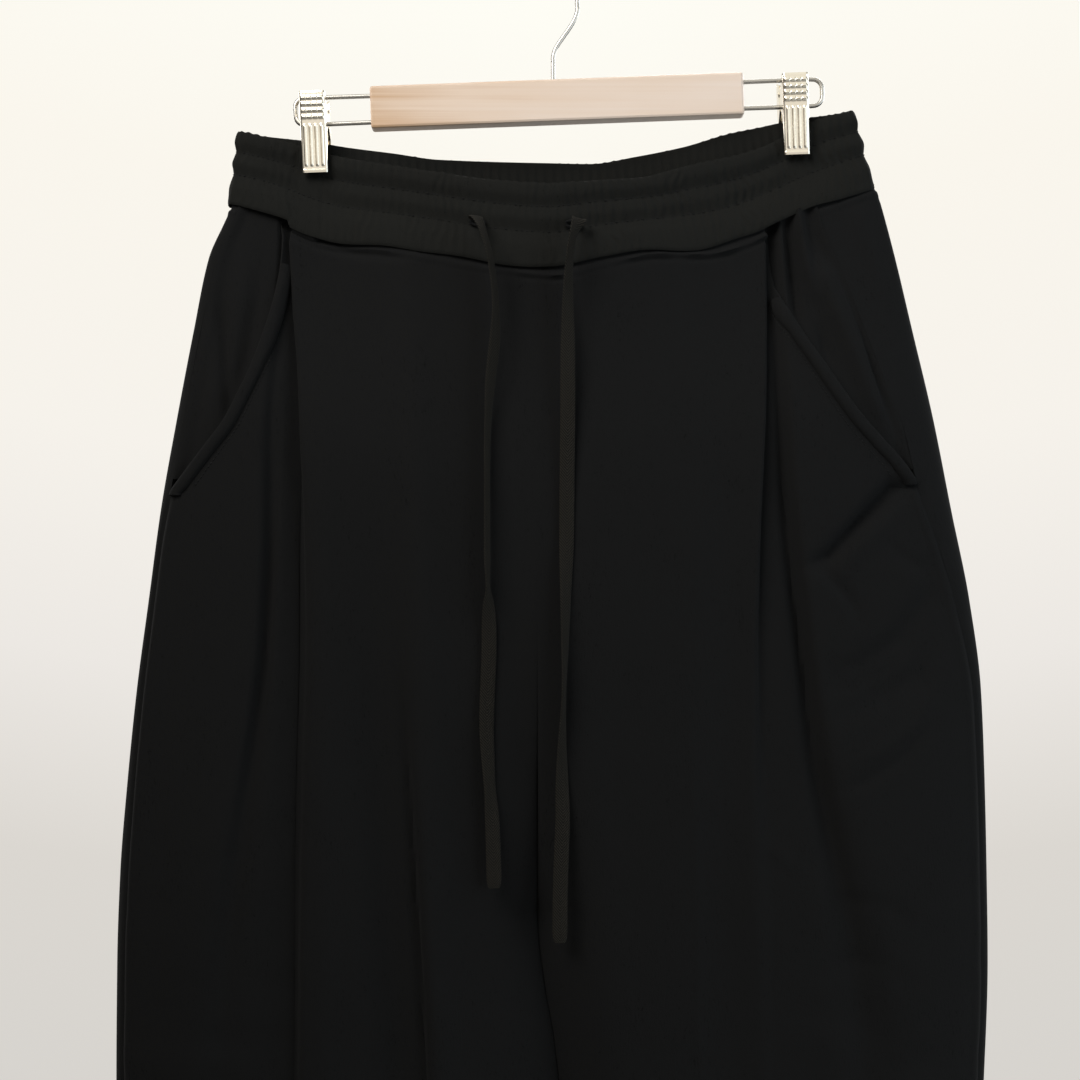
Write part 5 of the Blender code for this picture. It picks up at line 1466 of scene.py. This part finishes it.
def dress_hanger(materials):
    kinds = {"hanger_bar": "wood"}
    for side in SIDES:
        kinds.update({f"clip_spring_{side}": "steel", f"clip_back_{side}": "nickel"})
        add_jaw(side, materials["nickel"])
    for node, kind in kinds.items():
        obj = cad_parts[node]
        obj.data.materials.clear()
        obj.data.materials.append(materials[kind])
    add_wires(materials)


# ---- Sewing ----

STITCH_WIDTH = 0.55
# Rings of each stitch: height and half width as shares of its width; each ring has six points
STITCH_HIGH = (-0.5, 0.25, 0.5, 0.25, -0.5)
STITCH_SIZE = (0.25, 0.48, 0.5, 0.48, 0.25)
HEM_STITCHES = (HEM_HEIGHT - 1.0, HEM_HEIGHT - 6.0)  # heights above the hem's edge
HEM_REACH = {"front": (0.02, 2.98), "back": (0.03, 1.98)}  # u at both ends of those rows


def sew(name, line, normals, pitch, material, length=0.72, width=STITCH_WIDTH):
    """Row of stitches along a line of points, as one piece; length is the share of the pitch each covers."""
    run = run_along(line)
    count = int(run[-1] / pitch)
    starts = (np.arange(count) + 0.5 * (1.0 - length)) * pitch
    at = starts[:, None] + length * pitch * np.linspace(0.0, 1.0, 5)[None, :]
    spots = np.stack([np.interp(at, run, line[:, k]) for k in range(3)], axis=-1)
    out = unit(np.stack([np.interp(at, run, normals[:, k]) for k in range(3)], axis=-1))
    along = unit(np.gradient(spots, axis=1))
    across = unit(np.cross(along, out))
    high = width * np.array(STITCH_HIGH)[None, :, None]
    size = width * np.array(STITCH_SIZE)[None, :, None, None]
    turn = np.radians(np.arange(0.0, 360.0, 60.0))[None, None, :, None]
    ring = across[:, :, None] * np.cos(turn) + out[:, :, None] * np.sin(turn)
    points = ((spots + out * high)[:, :, None] + ring * size).reshape(-1, 3) * MM
    quads = np.roll(grid_faces(5, 6, flip=True, tube=True), 1, axis=1)
    caps = np.array([range(5, -1, -1), range(24, 30)])
    faces = []
    for base in range(0, 30 * count, 30):
        faces += (quads + base).tolist() + (caps + base).tolist()
    finish_piece(add_mesh(name, points, faces, material), "black_sweat_fabric")


# Half width and half height of a buttonhole's bead, its slant and how far it stands out
HOLE_SIZE = (4.6, 2.1)
HOLE_SLANT = 0.12
HOLE_RISE = 1.0
HOLE_POINTS = 160


def add_buttonhole(name, x, down, materials):
    """Satin-stitched eyelet slit: a low bead of thread round a narrow dark opening."""
    angle = np.array([math.acos(-float(band_across(np.array(x))))])
    fine = np.linspace(0.0, 1.0, 400)
    column = band_surface(np.repeat(angle, 400), fine)
    height = float(np.interp(down, -column[:, 2], fine))
    centre, normal = column[int(height * 399)], band_normals(angle, np.array([height]))[0]
    up = np.array((0.0, 0.0, 1.0))
    side_way = unit(np.cross(normal, up))
    side_way = side_way * np.sign(side_way[0])
    turn = round_turn(HOLE_POINTS)
    xs, ys = HOLE_SIZE[0] * np.cos(turn), HOLE_SIZE[1] * np.sin(turn)
    spot = centre + normal * HOLE_RISE + side_way * (xs + HOLE_SLANT * ys)[:, None]
    spot = spot + up * (ys - HOLE_SLANT * xs)[:, None]
    bead = 0.75 + 0.16 * np.cos(turn * 40.0)
    around = np.radians(np.arange(0.0, 360.0, 45.0))[None, :, None]
    outwards = unit(side_way * np.cos(turn)[:, None] * 0.5 + up * np.sin(turn)[:, None])
    ring = outwards[:, None] * np.cos(around) + normal * np.sin(around)
    rings = spot[:, None] + ring * bead[:, None, None]
    faces = grid_faces(HOLE_POINTS, 8, loop=True, tube=True)
    finish_piece(add_mesh(name, rings.reshape(-1, 3) * MM, faces, materials["thread"]), "black_waistband")


def sew_waistband(materials):
    count = 1600
    angles = np.linspace(0.0, 2.0 * math.pi, count + 1)
    run = np.arange(count + 1) / count * GATHERS
    for number, row in enumerate(STITCH_ROWS, 1):
        heights = np.full(angles.shape, row)
        normals = band_normals(angles, heights)
        line = band_surface(angles, heights) + normals * (band_relief(angles, run, heights)[:, None] + 0.1)
        sew(f"waistband_stitches_{number}", line, normals, 3.4, materials["thread"], 0.66, 0.6)


def sew_panel(name, face, side, u, row, materials, pitch=3.0):
    """Stitches along a row (numbers for u, one row) or along a column (one u, numbers for row)."""
    u, row = np.broadcast_arrays(np.asarray(u, float), np.asarray(row, float))
    surface = PANELS[face][0]
    points, normals = surface(side, u, row), normals_of(surface, side, u, row)
    line = points + normals * (CLOTH / 2 + cloth_detail(face, side, points, row) + 0.12)[..., None]
    sew(name, line, normals, pitch, materials["thread"])


def sew_garment(materials):
    sew_waistband(materials)
    for side in SIDES:
        for number, up in enumerate(HEM_STITCHES, 1):
            for face, ends in HEM_REACH.items():
                sew_panel(f"hem_{face}_{side}_stitches_{number}", face, side, np.linspace(*ends, 260),
                          HEM_DOWN - up, materials)
        down = np.linspace(POCKET_STITCH_START[side], POCKET_END[side] - 4.0, 240)
        sew_panel(f"pocket_{side}_stitches", "front", side, np.full(240, 0.06), down, materials, 2.8)


def main():
    bpy.context.scene.view_settings.view_transform = "Standard"
    add_camera()
    materials = make_materials()
    for name in CORDS:
        add_drawstring(name, materials)
    add_studio()
    add_waistband(materials)
    for side in SIDES:
        add_panels(side, materials)
        add_facing(side, materials)
    dress_hanger(materials)
    sew_garment(materials)
    for name in CORDS:
        x, _, down = CORDS[name][0]
        add_buttonhole(f"buttonhole_{name.split('_')[1]}", x, down, materials)


main()
